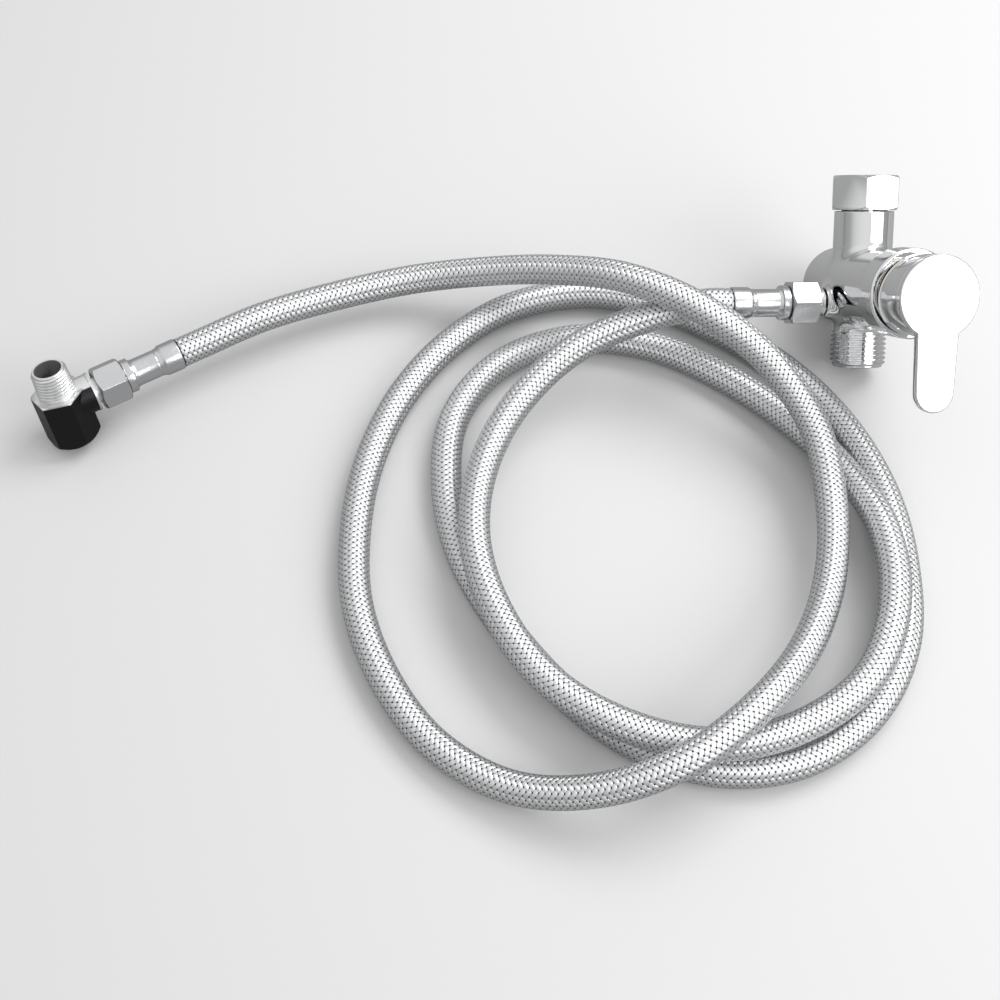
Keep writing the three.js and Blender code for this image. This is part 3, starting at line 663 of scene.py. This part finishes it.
def plain(name, color, metallic, roughness):
    shader = Shader(name, color, metallic, roughness)
    grains = shader.noise(700, detail=3)
    shader.roughness(shader.ranged(grains, roughness * 0.85, min(1, roughness * 1.2)))
    shader.bump(grains, distance=0.00003, strength=0.4)
    return shader.material


def braid():
    """Stainless wire braid: strands of wires that run over two and under two of the others, with
    shade painted into its holes and the low parts of its strands.
    """
    wire_color = (0.84, 0.85, 0.86)
    # Near-black colour of the shade painted into the braid's holes and low parts
    painted_shade_color = (0.01, 0.01, 0.011)
    shader = Shader("braid", (0.8, 0.81, 0.82), metallic=1, roughness=0.3)
    uv = shader.nodes.new("ShaderNodeUVMap")
    uv.uv_map = "along"
    parts = shader.nodes.new("ShaderNodeSeparateXYZ")
    shader.links.new(uv.outputs["UV"], parts.inputs["Vector"])
    around = shader.math("MULTIPLY", parts.outputs["X"], BRAID_ROWS)
    along = shader.math("MULTIPLY", parts.outputs["Y"], 1 / BRAID_STEP)
    left = shader.math("ADD", around, along)
    right = shader.math("SUBTRACT", around, along)
    left_part = shader.math("FRACT", left)
    right_part = shader.math("FRACT", right)
    cells = shader.math("ADD", shader.math("FLOOR", left), shader.math("FLOOR", right))
    turn = shader.math("FLOORED_MODULO", cells, 2 * BRAID_OVER)
    right_on_top = shader.math("GREATER_THAN", turn, BRAID_OVER - 0.5)

    def pick(when_left, when_right):
        mix = shader.nodes.new("ShaderNodeMix")
        shader.links.new(right_on_top, mix.inputs["Factor"])
        shader.links.new(when_left, mix.inputs["A"])
        shader.links.new(when_right, mix.inputs["B"])
        return mix.outputs["Result"]

    def arch(part, width):
        """Rises from 0 to 1 in the middle of the width, and falls to 0 again."""
        sine = shader.math("SINE", shader.math("MULTIPLY", part, math.pi / width))
        return shader.math("POWER", sine, STRAND_CROWN)

    across = pick(left_part, right_part)
    crossed = shader.math("FLOORED_MODULO", cells, BRAID_OVER)
    run = shader.math("ADD", pick(right_part, left_part), crossed)
    strand = shader.math("ADD", arch(across, 1), arch(run, BRAID_OVER))
    wire_angle = shader.math("MULTIPLY", across, 2 * math.pi * BRAID_WIRES)
    wires = shader.math("MULTIPLY", shader.math("COSINE", wire_angle), WIRE_RELIEF)
    height = shader.math("ADD", shader.math("MULTIPLY", strand, STRAND_RELIEF), wires)

    def near_line(part):
        """From 0 in the middle of a strand to 1 on its edges."""
        return shader.math("ABSOLUTE", shader.math("SUBTRACT", shader.math("MULTIPLY", part, 2), 1))

    crossing = shader.math("MULTIPLY", near_line(left_part), near_line(right_part))
    filled = shader.ranged(crossing, 1, 0, start=0.52, end=0.74)
    crest_shading = shader.ranged(height, 0.3, 1, start=0.32, end=0.56)
    relief = shader.math("ADD", height, shader.math("MULTIPLY", filled, HOLE_RELIEF))
    shader.bump(relief, distance=0.00045, strength=0.9)
    # Painted shade: near black in the holes where strands cross, and darker towards the low edges
    # of each strand, the wires' grey on the crowns
    shader.color_between(shader.math("MULTIPLY", filled, crest_shading), painted_shade_color, wire_color)
    shader.roughness(shader.ranged(height, 0.6, 0.4, start=0.1, end=0.6))
    return shader.material


def tee_painted_reflection():
    """Painted reflection: the sides are coloured near black for the dark surroundings that the
    metal mirrors there, while the thread, the hexagon's top and the hose port's ring keep bright
    metal.
    """
    # Near-black colour painted on the sides as the dark reflection they would show
    painted_reflection_dark = (0.035, 0.035, 0.037)
    bright_color = (0.86, 0.865, 0.87)
    shader = Shader("tee_dark_reflection_painted", (0.03, 0.03, 0.032), metallic=1, roughness=0.2)
    parts = shader.nodes.new("ShaderNodeSeparateXYZ")
    shader.links.new(shader.local(TEE), parts.inputs["Vector"])
    above = shader.ranged(
        parts.outputs["Z"], 0, 1, start=TEE_TOP - TEE_SHINE_START, end=TEE_TOP - TEE_SHINE_FULL
    )
    ring_start = TEE_BOSS_END - TEE_RING
    beyond = shader.ranged(
        parts.outputs["X"], 0, 1, start=ring_start - TEE_RING_BLEND, end=ring_start
    )
    # Painted reflection: near black below the hexagon's top and before the port's ring, bright
    # metal on and beyond them
    shader.color_between(shader.math("MAXIMUM", above, beyond), painted_reflection_dark, bright_color)
    grains = shader.noise(500, detail=3)
    shader.roughness(shader.ranged(grains, 0.3, 0.42))
    shader.bump(grains, distance=0.00002, strength=0.3)
    return shader.material


CHROME = chrome()
STEEL = plain("steel", (0.6, 0.61, 0.62), 1, 0.3)
BRASS = plain("brass", (0.78, 0.6, 0.3), 1, 0.28)
RUBBER = plain("rubber", (0.025, 0.025, 0.025), 0, 0.7)
WHITE_PLASTIC = plain("white_plastic", (0.82, 0.82, 0.79), 0, 0.45)
GREY_PLASTIC = plain("grey_plastic", (0.35, 0.36, 0.37), 0, 0.45)
CERAMIC = plain("ceramic", (0.88, 0.87, 0.84), 0, 0.18)
BRAID = braid()
# The tee's metal, with a dark reflection painted on its sides
TEE_PAINTED_REFLECTION = tee_painted_reflection()
VALVE_END_STEEL = turned_steel("valve_end_steel", VALVE_HOSE)
TEE_END_STEEL = turned_steel("tee_end_steel", TEE_HOSE)

SLOT_MATERIALS = {
    "chrome": CHROME,
    "satin_steel": STEEL,
    "steel": STEEL,
    "braid": BRAID,
    "dark_metal": TEE_PAINTED_REFLECTION,
    "brass": BRASS,
    "rubber": RUBBER,
    "white_plastic": WHITE_PLASTIC,
    "grey_plastic": GREY_PLASTIC,
    "ceramic": CERAMIC,
}


def finish_cad_nodes():
    """Gives each piece of the model itself the material of its slot."""
    slots = {row["node"]: row["material_slot"] for row in frame["record"]["subparts"]}
    for name, node in frame["nodes"].items():
        material = SLOT_MATERIALS[slots[name]]
        for material_slot in node.material_slots:
            material_slot.material = material


# Valve body: one casting whose branches run into each other with soft fillets


def capped_cylinder(along, across, start, end, radius, edge):
    """Signed distance to a cylinder with rounded rims."""
    middle = (start + end) / 2
    half = (end - start) / 2
    dx = across - (radius - edge)
    dy = np.abs(along - middle) - (half - edge)
    outside = np.hypot(np.maximum(dx, 0), np.maximum(dy, 0))
    return outside + np.minimum(np.maximum(dx, dy), 0) - edge


def soft_min(a, b, width):
    blend = np.maximum(width - np.abs(a - b), 0) / width
    return np.minimum(a, b) - blend * blend * width / 4


def soft_max(a, b, width):
    return -soft_min(-a, -b, width)


def body_distance(p):
    """Signed distance, in millimetres, from points to the surface of the valve's casting."""
    x, y, z = p[:, 0], p[:, 1], p[:, 2]
    from_barrel = np.hypot(y, z)
    from_neck = np.hypot(x, y)
    from_port = np.hypot(x - PORT_X, z - PORT_Z)
    barrel_end = HOUSING_START + BARREL_OVERLAP
    barrel = capped_cylinder(
        x, from_barrel, -BARREL_REAR, barrel_end, BARREL_RADIUS, BARREL_ROUND
    )
    housing = capped_cylinder(
        x, from_barrel, HOUSING_START, HOUSING_END, HOUSING_RADIUS, HOUSING_ROUND
    )
    neck = capped_cylinder(z, from_neck, 0, NECK_TOP, NECK_RADIUS, NECK_ROUND)
    tail = np.minimum(
        capped_cylinder(z, from_neck, 0, TAIL_STEP, TAIL_RADIUS, TAIL_ROUND),
        capped_cylinder(z, from_neck, 0, TAIL_TOP, TAIL_GROOVE, TAIL_ROUND),
    )
    stub = capped_cylinder(-z, from_neck, 0, STUB_END, STUB_RADIUS, STUB_ROUND)
    port = capped_cylinder(-y, from_port, 0, PORT_END, PORT_RADIUS, PORT_ROUND)
    collar = capped_cylinder(
        -y, from_port, 0, PORT_COLLAR_END, PORT_COLLAR, PORT_COLLAR_ROUND
    )
    whole = soft_min(barrel, housing, HOUSING_FILLET)
    whole = soft_min(whole, np.minimum(neck, tail), FILLET)
    whole = soft_min(whole, stub, FILLET)
    whole = soft_min(whole, np.minimum(port, collar), PORT_FILLET)
    bores = (
        capped_cylinder(x, from_barrel, CHAMBER_FLOOR, OPEN_END, CHAMBER_RADIUS, BORE_ROUND),
        capped_cylinder(z, from_neck, BORE_INNER_END, OPEN_END, INLET_BORE, BORE_ROUND),
        capped_cylinder(-z, from_neck, STUB_BORE_TOP, OPEN_END, STUB_BORE, BORE_ROUND),
        capped_cylinder(-y, from_port, BORE_INNER_END, OPEN_END, PORT_BORE, BORE_ROUND),
    )
    for bore in bores:
        whole = soft_max(whole, -bore, BORE_EDGE)
    return whole


def body_slope(p):
    """Way in which the distance grows fastest, at each point."""
    slope = np.empty_like(p)
    for axis in range(3):
        step = np.zeros(3)
        step[axis] = SLOPE_REACH
        rise = body_distance(p + step) - body_distance(p - step)
        slope[:, axis] = rise / (2 * SLOPE_REACH)
    return slope


def lengths_of(vectors):
    return np.maximum(np.linalg.norm(vectors, axis=1, keepdims=True), TINY)


def rough_casting():
    """The casting with sharp corners, as an even mesh."""
    barrel = turned([
        (0, -BARREL_REAR), (BARREL_RADIUS, -BARREL_REAR), (BARREL_RADIUS, HOUSING_START),
        (HOUSING_RADIUS, HOUSING_START), (HOUSING_RADIUS, HOUSING_END), (0, HOUSING_END),
    ])
    neck = turned([
        (0, 0), (NECK_RADIUS, 0), (NECK_RADIUS, NECK_TOP), (TAIL_RADIUS, NECK_TOP),
        (TAIL_RADIUS, TAIL_STEP), (TAIL_GROOVE, TAIL_STEP), (TAIL_GROOVE, TAIL_TOP), (0, TAIL_TOP),
    ])
    stub = turned([(0, -STUB_END), (STUB_RADIUS, -STUB_END), (STUB_RADIUS, 0), (0, 0)])
    port = turned([
        (0, 0), (PORT_COLLAR, 0), (PORT_COLLAR, PORT_COLLAR_END),
        (PORT_RADIUS, PORT_COLLAR_END), (PORT_RADIUS, PORT_END), (0, PORT_END),
    ])
    to_port = Matrix.Translation((PORT_X, 0, PORT_Z)) @ ALONG_MINUS_Y
    body = object_of(moved(barrel, ALONG_X), "body_casting")
    combine(body, "UNION", neck, stub, moved(port, to_port))
    combine(
        body, "DIFFERENCE",
        moved(hole(CHAMBER_RADIUS, CHAMBER_FLOOR, OPEN_END), ALONG_X),
        hole(INLET_BORE, BORE_INNER_END, OPEN_END),
        hole(STUB_BORE, -OPEN_END, -STUB_BORE_TOP),
        moved(hole(PORT_BORE, BORE_INNER_END, OPEN_END), to_port),
    )
    remesh = body.modifiers.new("even", "REMESH")
    remesh.mode = "VOXEL"
    remesh.voxel_size = VOXEL
    return apply_modifiers(body)


def valve_body():
    """The casting, its skin drawn onto the soft shape, and the thread of its outlet."""
    body = rough_casting()
    points = np.empty(len(body.data.vertices) * 3)
    body.data.vertices.foreach_get("co", points)
    points = points.reshape(-1, 3)
    for _ in range(SKIN_ROUNDS):
        slope = body_slope(points)
        steepness = np.maximum((slope ** 2).sum(1), SKIN_LEAST_SLOPE)
        step = slope * (body_distance(points) / steepness)[:, None]
        points -= step * np.minimum(1, SKIN_LONGEST_STEP / lengths_of(step))
    body.data.vertices.foreach_set("co", points.ravel())
    normals = body_slope(points)
    normals /= lengths_of(normals)
    dressed(body, VALVE, CHROME, "root", ["valve_body"], sharp=None)
    turn = np.array(VALVE.to_3x3().normalized())
    body.data.normals_split_custom_set_from_vertices([tuple(n) for n in normals @ turn.T])
    ridges = thread(
        OUTLET_CREST, OUTLET_DEPTH, OUTLET_PITCH, -STUB_END + OUTLET_TIP_GAP, OUTLET_LENGTH,
        STUB_RADIUS - OUTLET_BACKING,
    )
    dressed(object_of(ridges, "outlet_thread"), VALVE, CHROME, "root")


# Swivel nut


def chamfer_envelope(flats, low, high, face):
    """Round solid that turns a hexagon's corners down at both ends."""
    corner = flats / math.sqrt(3) + CHAMFER_SPARE
    drop = (corner - face) * math.tan(CHAMFER_ANGLE)
    return turned([
        (0, low), (face, low), (corner, low + drop), (corner, high - drop), (face, high), (0, high),
    ], CHAMFER_SIDES)


def hex_nut(name, flats, low, high, turn, cuts):
    outline = hexagon(flats, NUT_EDGE_ROUND, turn)
    nut = object_of(prism(outline, low - NUT_END_SPARE, high + NUT_END_SPARE), name)
    combine(nut, "INTERSECT", chamfer_envelope(flats, low, high, flats / 2 - NUT_FACE_INSET))
    combine(nut, "DIFFERENCE", *cuts)
    return bevelled(nut, NUT_BEVEL, segments=2, angle=22)


def inlet_nut():
    nut = hex_nut("swivel_nut", NUT_FLATS, NUT_BOTTOM, NUT_TOP, NUT_TURN, (
        hole(NUT_BORE, NUT_BOTTOM - SPARE, NUT_TOP + SPARE),
        hole(NUT_THREAD + NUT_THREAD_SLACK, NUT_BOTTOM + NUT_LIP, NUT_TOP + SPARE),
    ))
    dressed(nut, VALVE, CHROME, "swivel_nut", ["inlet_nut"], sharp=25)
    ridges = thread(
        NUT_THREAD, NUT_THREAD_DEPTH, OUTLET_PITCH, NUT_THREAD_START,
        NUT_TOP - NUT_THREAD_END_GAP - NUT_THREAD_START, NUT_THREAD + NUT_THREAD_BACKING,
    )
    dressed(object_of(ridges, "swivel_nut_thread"), VALVE, CHROME, "swivel_nut")


# Lever


def lever_outline(inset):
    """Keyhole outline of the plate, the same number of points for any inset."""
    radius = HUB_RADIUS - inset
    tip = LEVER_TIP_HALF - inset
    meet = math.asin((LEVER_HALF_WIDTH - inset) / radius)
    points = []
    first, last = -math.pi / 2 + meet, 1.5 * math.pi - meet
    for i in range(LEVER_ARC_STEPS + 1):
        angle = first + (last - first) * i / LEVER_ARC_STEPS
        points.append((radius * math.cos(angle), radius * math.sin(angle)))
    for i in range(LEVER_TIP_STEPS + 1):
        angle = math.pi + math.pi * i / LEVER_TIP_STEPS
        points.append((tip * math.cos(angle), -LEVER_LENGTH + tip * math.sin(angle)))
    return points


def lever_plate():
    """The keyhole plate, its long edges rounded over, front towards +Z."""
    edge = []
    for i in range(PLATE_EDGE_STEPS + 1):
        angle = math.pi / 2 * i / PLATE_EDGE_STEPS
        edge.append((PLATE_EDGE * (1 - math.sin(angle)), PLATE_EDGE * (1 - math.cos(angle))))
    layers = edge + [(inset, PLATE_THICKNESS - z) for inset, z in reversed(edge)]
    mesh = bmesh.new()
    rings = [[mesh.verts.new((x, y, z)) for x, y in lever_outline(inset)] for inset, z in layers]
    for low, high in zip(rings, rings[1:]):
        wall(mesh, low, high)
    mesh.faces.new(list(reversed(rings[0])))
    mesh.faces.new(rings[-1])
    bmesh.ops.recalc_face_normals(mesh, faces=mesh.faces)
    return mesh


def lever():
    """The round hub, hollowed out and cut off aslant behind, with its plate and stem socket."""
    hub_outline = rounded([
        (0, HUB_REAR_LOW - HUB_START_SPARE), (HUB_RADIUS, HUB_REAR_LOW - HUB_START_SPARE),
        (HUB_RADIUS, PLATE_BACK + PLATE_OVERLAP), (0, PLATE_BACK + PLATE_OVERLAP),
    ], HUB_EDGE)
    boss_outline = rounded([
        (0, BOSS_BACK), (BOSS_RADIUS, BOSS_BACK), (BOSS_RADIUS, PLATE_BACK), (0, PLATE_BACK),
    ], BOSS_EDGE)
    boss = moved(turned(boss_outline, BOSS_SIDES), ALONG_X)
    upright = Matrix.Rotation(math.pi / 2, 4, "Z") @ Matrix.Rotation(math.pi / 2, 4, "X")
    plate = moved(lever_plate(), Matrix.Translation((PLATE_BACK, 0, 0)) @ upright)
    slope = math.atan2(HUB_REAR_HIGH - HUB_REAR_LOW, 2 * HUB_RADIUS)
    rear_middle = Matrix.Translation(((HUB_REAR_LOW + HUB_REAR_HIGH) / 2, 0, 0))
    behind = block((REAR_CUT, 2 * REAR_CUT, 2 * REAR_CUT), (-REAR_CUT / 2, 0, 0))
    made = object_of(moved(turned(hub_outline, HUB_SIDES), ALONG_X), "lever_handle")
    combine(
        made, "DIFFERENCE",
        ball(HUB_CAVITY, (PIVOT_X, 0, 0)),
        moved(behind, rear_middle @ Matrix.Rotation(slope, 4, "Y")),
    )
    bevelled(made, HUB_BEVEL, segments=3, angle=40)
    combine(made, "UNION", boss, plate)
    width = STEM_WIDTH + 2 * SOCKET_GAP
    depth = STEM_DEPTH + 2 * SOCKET_GAP
    length = STEM_TIP + SOCKET_GAP - BOSS_BACK + SPARE
    screw_hole = hole(SCREW_HOLE, -HUB_RADIUS - SPARE, 0, SCREW_SIDES)
    combine(
        made, "DIFFERENCE",
        block((length, width, depth), (BOSS_BACK - SPARE + length / 2, 0, 0)),
        moved(screw_hole, Matrix.Translation((SCREW_X, 0, 0))),
    )
    dressed(made, VALVE, CHROME, "lever", ["handle"], sharp=30)


def dome():
    first = math.acos((DOME_START - PIVOT_X) / DOME_RADIUS)
    last = math.asin(DOME_HOLE / DOME_RADIUS)
    angles = [first + (last - first) * i / DOME_STEPS for i in range(DOME_STEPS + 1)]
    outer = [(DOME_RADIUS * math.sin(a), PIVOT_X + DOME_RADIUS * math.cos(a)) for a in angles]
    thin = DOME_RADIUS - DOME_WALL
    inner = [(thin * math.sin(a), PIVOT_X + thin * math.cos(a)) for a in reversed(angles)]
    made = object_of(moved(turned(outer + inner), ALONG_X), "dome_cover")
    dressed(made, VALVE, CHROME, "root", ["dome_ring"], sharp=30)


# Hose ends


def hose_end(name, matrix, material, nut_body):
    """A swivel nut, and a ferrule with a bead, a waist, a fine groove and a crimped band."""
    nut = hex_nut(name + "_swivel", HOSE_NUT_FLATS, HOSE_NUT_FROM, HOSE_NUT_TO, HOSE_NUT_TURN, (
        hole(HOSE_NUT_HOLE, -HOSE_NUT_CUT, HOSE_NUT_CUT, HOSE_END_SIDES),
        hole(HOSE_NUT_BORE, -HOSE_NUT_CUT, HOSE_NUT_LIP, HOSE_END_SIDES),
    ))
    dressed(nut, matrix, material, nut_body, [name + "_hose_nut"], sharp=25)
    bead = [(BEAD_RADIUS, FERRULE_START), (BEAD_RADIUS, BEAD_END), (5.75, 8.9), (5.5, 9.6)]
    waist = [(WAIST_RADIUS, WAIST_START), (WAIST_RADIUS, WAIST_END)]
    groove = [(5.35, 18.9), (5.15, 19.2), (5.35, 19.5), (5.5, 20.6)]
    crimp = [(6.1, CRIMP_START), (CRIMP_RADIUS, 27.9), (5.95, FERRULE_END)]
    inside = [(FERRULE_BORE, FERRULE_END)]
    sleeve = [(FERRULE_BORE, FERRULE_START), *bead, *waist, *groove, *crimp, *inside]
    ferrule_outline = rounded(sleeve, FERRULE_EDGE, steps=3)
    ferrule = object_of(turned(ferrule_outline, HOSE_END_SIDES), name + "_crimp")
    dressed(ferrule, matrix, material, "root", [name + "_ferrule"], sharp=40)
    return nut, ferrule


# Tee


def tee():
    """A hexagon block with a threaded stub on top and the hose port on one side."""
    outline = hexagon(TEE_FLATS, TEE_EDGE_ROUND, TEE_HEX_TURN)
    made = object_of(
        prism(outline, -TEE_BOTTOM - TEE_END_SPARE, TEE_TOP + TEE_END_SPARE), "tee_fitting"
    )
    corner = TEE_FLATS / math.sqrt(3)
    envelope = rounded([
        (0, -TEE_BOTTOM), (corner - TEE_ROUND, -TEE_BOTTOM),
        (corner + TEE_CORNER_SPARE, TEE_ROUND - TEE_BOTTOM),
        (corner + TEE_CORNER_SPARE, TEE_TOP - TEE_LAND),
        (corner - TEE_TOP_CHAMFER, TEE_TOP), (0, TEE_TOP),
    ], TEE_RIM_ROUND, steps=6)
    root = TEE_CREST - TEE_DEPTH
    wide_root = root + TEE_TAPER * TEE_LENGTH
    stub = turned([
        (0, 0), (wide_root, 0), (wide_root, TEE_TOP), (root, TEE_THREAD_END - TEE_THREAD_TIP),
        (root - TEE_THREAD_TIP, TEE_THREAD_END), (0, TEE_THREAD_END),
    ])
    boss_radius = TEE_BOSS - TEE_RING_STEP
    ring_start = TEE_BOSS_END - TEE_RING
    boss = turned([
        (0, 0), (boss_radius, 0), (boss_radius, ring_start - TEE_RING_SLOPE),
        (TEE_BOSS, ring_start), (TEE_BOSS, TEE_BOSS_END), (PORT_RADIUS, TEE_BOSS_END),
        (PORT_RADIUS, TEE_BOSS_END + TEE_PORT_NECK),
        (TEE_PORT_CREST, TEE_BOSS_END + TEE_PORT_THREAD_START),
        (TEE_PORT_CREST, TEE_PORT_END), (0, TEE_PORT_END),
    ])
    combine(made, "INTERSECT", turned(envelope, TEE_SIDES))
    combine(made, "UNION", stub, moved(boss, ALONG_X))
    combine(
        made, "DIFFERENCE",
        hole(TEE_BORE, -TEE_CUT, TEE_CUT),
        hole(TEE_SOCKET, -TEE_CUT, TEE_SOCKET_DEPTH - TEE_BOTTOM),
        moved(hole(PORT_BORE, 0, TEE_PORT_CUT, TEE_PORT_SIDES), ALONG_X),
    )
    bevelled(made, TEE_BEVEL, segments=2, angle=30)
    dressed(made, TEE, TEE_PAINTED_REFLECTION, "root", ["tee_body"], sharp=28)
    ridges = object_of(thread(
        TEE_CREST, TEE_DEPTH, TEE_PITCH, TEE_THREAD_END - TEE_THREAD_TIP_GAP - TEE_LENGTH,
        TEE_LENGTH, root - TEE_THREAD_BACKING, TEE_TAPER,
    ), "tee_thread")
    dressed(ridges, TEE, TEE_PAINTED_REFLECTION, "root")
    return made, ridges


# Hose


def hose_mouth(matrix):
    """The end face of the hose in a ferrule, and a point straight out from it, in metres."""
    face = matrix @ Vector((0, 0, FERRULE_END + HOSE_GAP))
    lead = matrix @ Vector((0, 0, FERRULE_END + HOSE_GAP + HOSE_LEAD))
    return face, lead


def smooth_route(points):
    """Centripetal Catmull-Rom curve through the points."""
    whole = [2 * points[0] - points[1], *points, 2 * points[-1] - points[-2]]
    route = []
    for p0, p1, p2, p3 in zip(whole, whole[1:], whole[2:], whole[3:]):
        d0 = math.sqrt((p1 - p0).length)
        d1 = math.sqrt((p2 - p1).length)
        d2 = math.sqrt((p3 - p2).length)
        t1 = ((p1 - p0) / d0 - (p2 - p0) / (d0 + d1) + (p2 - p1) / d1) * d1
        t2 = ((p2 - p1) / d1 - (p3 - p1) / (d1 + d2) + (p3 - p2) / d2) * d1
        for step in range(ROUTE_STEPS):
            t = step / ROUTE_STEPS
            route.append(p1 + t1 * t + (3 * (p2 - p1) - 2 * t1 - t2) * t ** 2
                         + (2 * (p1 - p2) + t1 + t2) * t ** 3)
    route.append(points[-1].copy())
    return route


def evenly(route, spacing):
    """The route with its points at an even spacing, and its length."""
    lengths = [0.0]
    for a, b in zip(route, route[1:]):
        lengths.append(lengths[-1] + (b - a).length)
    count = round(lengths[-1] / spacing)
    wanted = np.linspace(0, lengths[-1], count + 1)
    columns = [np.interp(wanted, lengths, [p[axis] for p in route]) for axis in range(3)]
    return [Vector(p) for p in zip(*columns)], lengths[-1]


def hose():
    """A smooth tube on the route, each point of it marked with its way around and along."""
    tee_face, tee_lead = hose_mouth(TEE_HOSE)
    valve_face, valve_lead = hose_mouth(VALVE_HOSE)
    middle = [Vector(point) * MM for point in HOSE_POINTS]
    points = [valve_face, valve_lead, *reversed(middle), tee_lead, tee_face]
    route, length = evenly(smooth_route(points), HOSE_RING_STEP * MM)
    mesh = bmesh.new()
    uv_layer = mesh.loops.layers.uv.new("along")
    side = Vector((0, 0, 1))
    rings = []
    for i, point in enumerate(route):
        ahead = route[min(i + 1, len(route) - 1)] - route[max(i - 1, 0)]
        ahead.normalize()
        side = (side - ahead * side.dot(ahead)).normalized()
        other = ahead.cross(side)
        rings.append([
            mesh.verts.new(point + HOSE_RADIUS * MM * (side * math.cos(a) + other * math.sin(a)))
            for a in angles_of(HOSE_SIDES)
        ])
    step = length / (len(route) - 1) / MM
    for i, (low, high) in enumerate(zip(rings, rings[1:])):
        for k, face in enumerate(wall(mesh, low, high)):
            corners = ((k, i), (k + 1, i), (k + 1, i + 1), (k, i + 1))
            for loop, (u, v) in zip(face.loops, corners):
                loop[uv_layer].uv = (u / HOSE_SIDES, v * step)
    mesh.faces.new(list(reversed(rings[0])))
    mesh.faces.new(rings[-1])
    bmesh.ops.recalc_face_normals(mesh, faces=mesh.faces)
    made = object_of(mesh, "braided_hose")
    dressed(made, Matrix.Identity(4), BRAID, "root", ["hose"], sharp=None)
    return made, route, length, valve_face


# Camera, light and floor


def camera():
    data = bpy.data.cameras.new("camera")
    data.lens = CAMERA_LENS
    data.sensor_width = CAMERA_SENSOR
    data.clip_start = CAMERA_NEAR
    made = bpy.data.objects.new("camera", data)
    back = Vector((0, -math.cos(CAMERA_ELEVATION), math.sin(CAMERA_ELEVATION)))
    made.location = CAMERA_TARGET + back * CAMERA_DISTANCE
    made.rotation_euler = (math.pi / 2 - CAMERA_ELEVATION, 0, 0)
    bpy.context.scene.collection.objects.link(made)
    bpy.context.scene.camera = made


def area_light(name, place, target, width, height, power):
    data = bpy.data.lights.new(name, "AREA")
    data.shape = "RECTANGLE"
    data.size = width
    data.size_y = height
    data.energy = power
    made = bpy.data.objects.new(name, data)
    made.location = place
    made.rotation_euler = (Vector(target) - Vector(place)).to_track_quat("-Z", "Y").to_euler()
    bpy.context.scene.collection.objects.link(made)


def floor():
    """A pale floor that is darker where bright metal mirrors it."""
    mesh = bmesh.new()
    bmesh.ops.create_grid(mesh, x_segments=1, y_segments=1, size=FLOOR_HALF)
    made = object_of(mesh, "floor")
    material = bpy.data.materials.new("floor")
    material.use_nodes = True
    nodes, links = material.node_tree.nodes, material.node_tree.links
    shader = nodes["Principled BSDF"]
    shader.inputs["Roughness"].default_value = FLOOR_ROUGHNESS
    shader.inputs["Specular IOR Level"].default_value = FLOOR_SHINE
    path = nodes.new("ShaderNodeLightPath")
    mix = nodes.new("ShaderNodeMix")
    mix.data_type = "RGBA"
    mix.inputs["A"].default_value = grey(FLOOR_GREY)
    mix.inputs["B"].default_value = grey(FLOOR_GREY_IN_METAL)
    links.new(path.outputs["Is Glossy Ray"], mix.inputs["Factor"])
    links.new(mix.outputs["Result"], shader.inputs["Base Color"])
    made.data.materials.append(material)


def world():
    """Bright overhead and darker towards the horizon, so that metal has something to mirror."""
    scene = bpy.context.scene
    made = bpy.data.worlds.new("studio")
    scene.world = made
    made.use_nodes = True
    nodes, links = made.node_tree.nodes, made.node_tree.links
    background = nodes["Background"]
    coordinates = nodes.new("ShaderNodeTexCoord")
    parts = nodes.new("ShaderNodeSeparateXYZ")
    ramp = nodes.new("ShaderNodeValToRGB")
    stops = ramp.color_ramp.elements
    lowest, *between, highest = SKY
    for stop, (height, brightness) in zip(stops, (lowest, highest)):
        stop.position = height
        stop.color = grey(brightness)
    for height, brightness in between:
        stops.new(height).color = grey(brightness)
    path = nodes.new("ShaderNodeLightPath")
    mix = nodes.new("ShaderNodeMix")
    mix.data_type = "RGBA"
    mix.inputs["B"].default_value = grey(SKY_BEHIND)
    links.new(coordinates.outputs["Generated"], parts.inputs["Vector"])
    links.new(parts.outputs["Z"], ramp.inputs["Fac"])
    links.new(path.outputs["Is Camera Ray"], mix.inputs["Factor"])
    links.new(ramp.outputs["Color"], mix.inputs["A"])
    links.new(mix.outputs["Result"], background.inputs["Color"])
    background.inputs["Strength"].default_value = SKY_STRENGTH
    scene.view_settings.view_transform = "Standard"


# Putting it together

camera()
world()
floor()
area_light("key", *KEY_LIGHT)
area_light("front", *FRONT_LIGHT)
finish_cad_nodes()
hose_piece, hose_route, hose_length, hose_exit = hose()
valve_body()
inlet_nut()
lever()
dome()
valve_swivel, valve_crimp = hose_end("valve", VALVE_HOSE, VALVE_END_STEEL, "valve_end_nut")
tee_swivel, tee_crimp = hose_end("tee", TEE_HOSE, TEE_END_STEEL, "tee_end_nut")
tee_piece, tee_ridges = tee()
on_the_hose = [valve_swivel, valve_crimp, tee_swivel, tee_crimp, tee_piece, tee_ridges]
hidden_on_the_hose = ("valve_hose_seal", "valve_hose_tail", "tee_hose_seal", "tee_hose_tail")
on_the_hose += [frame["nodes"][name] for name in hidden_on_the_hose]
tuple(hose_exit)
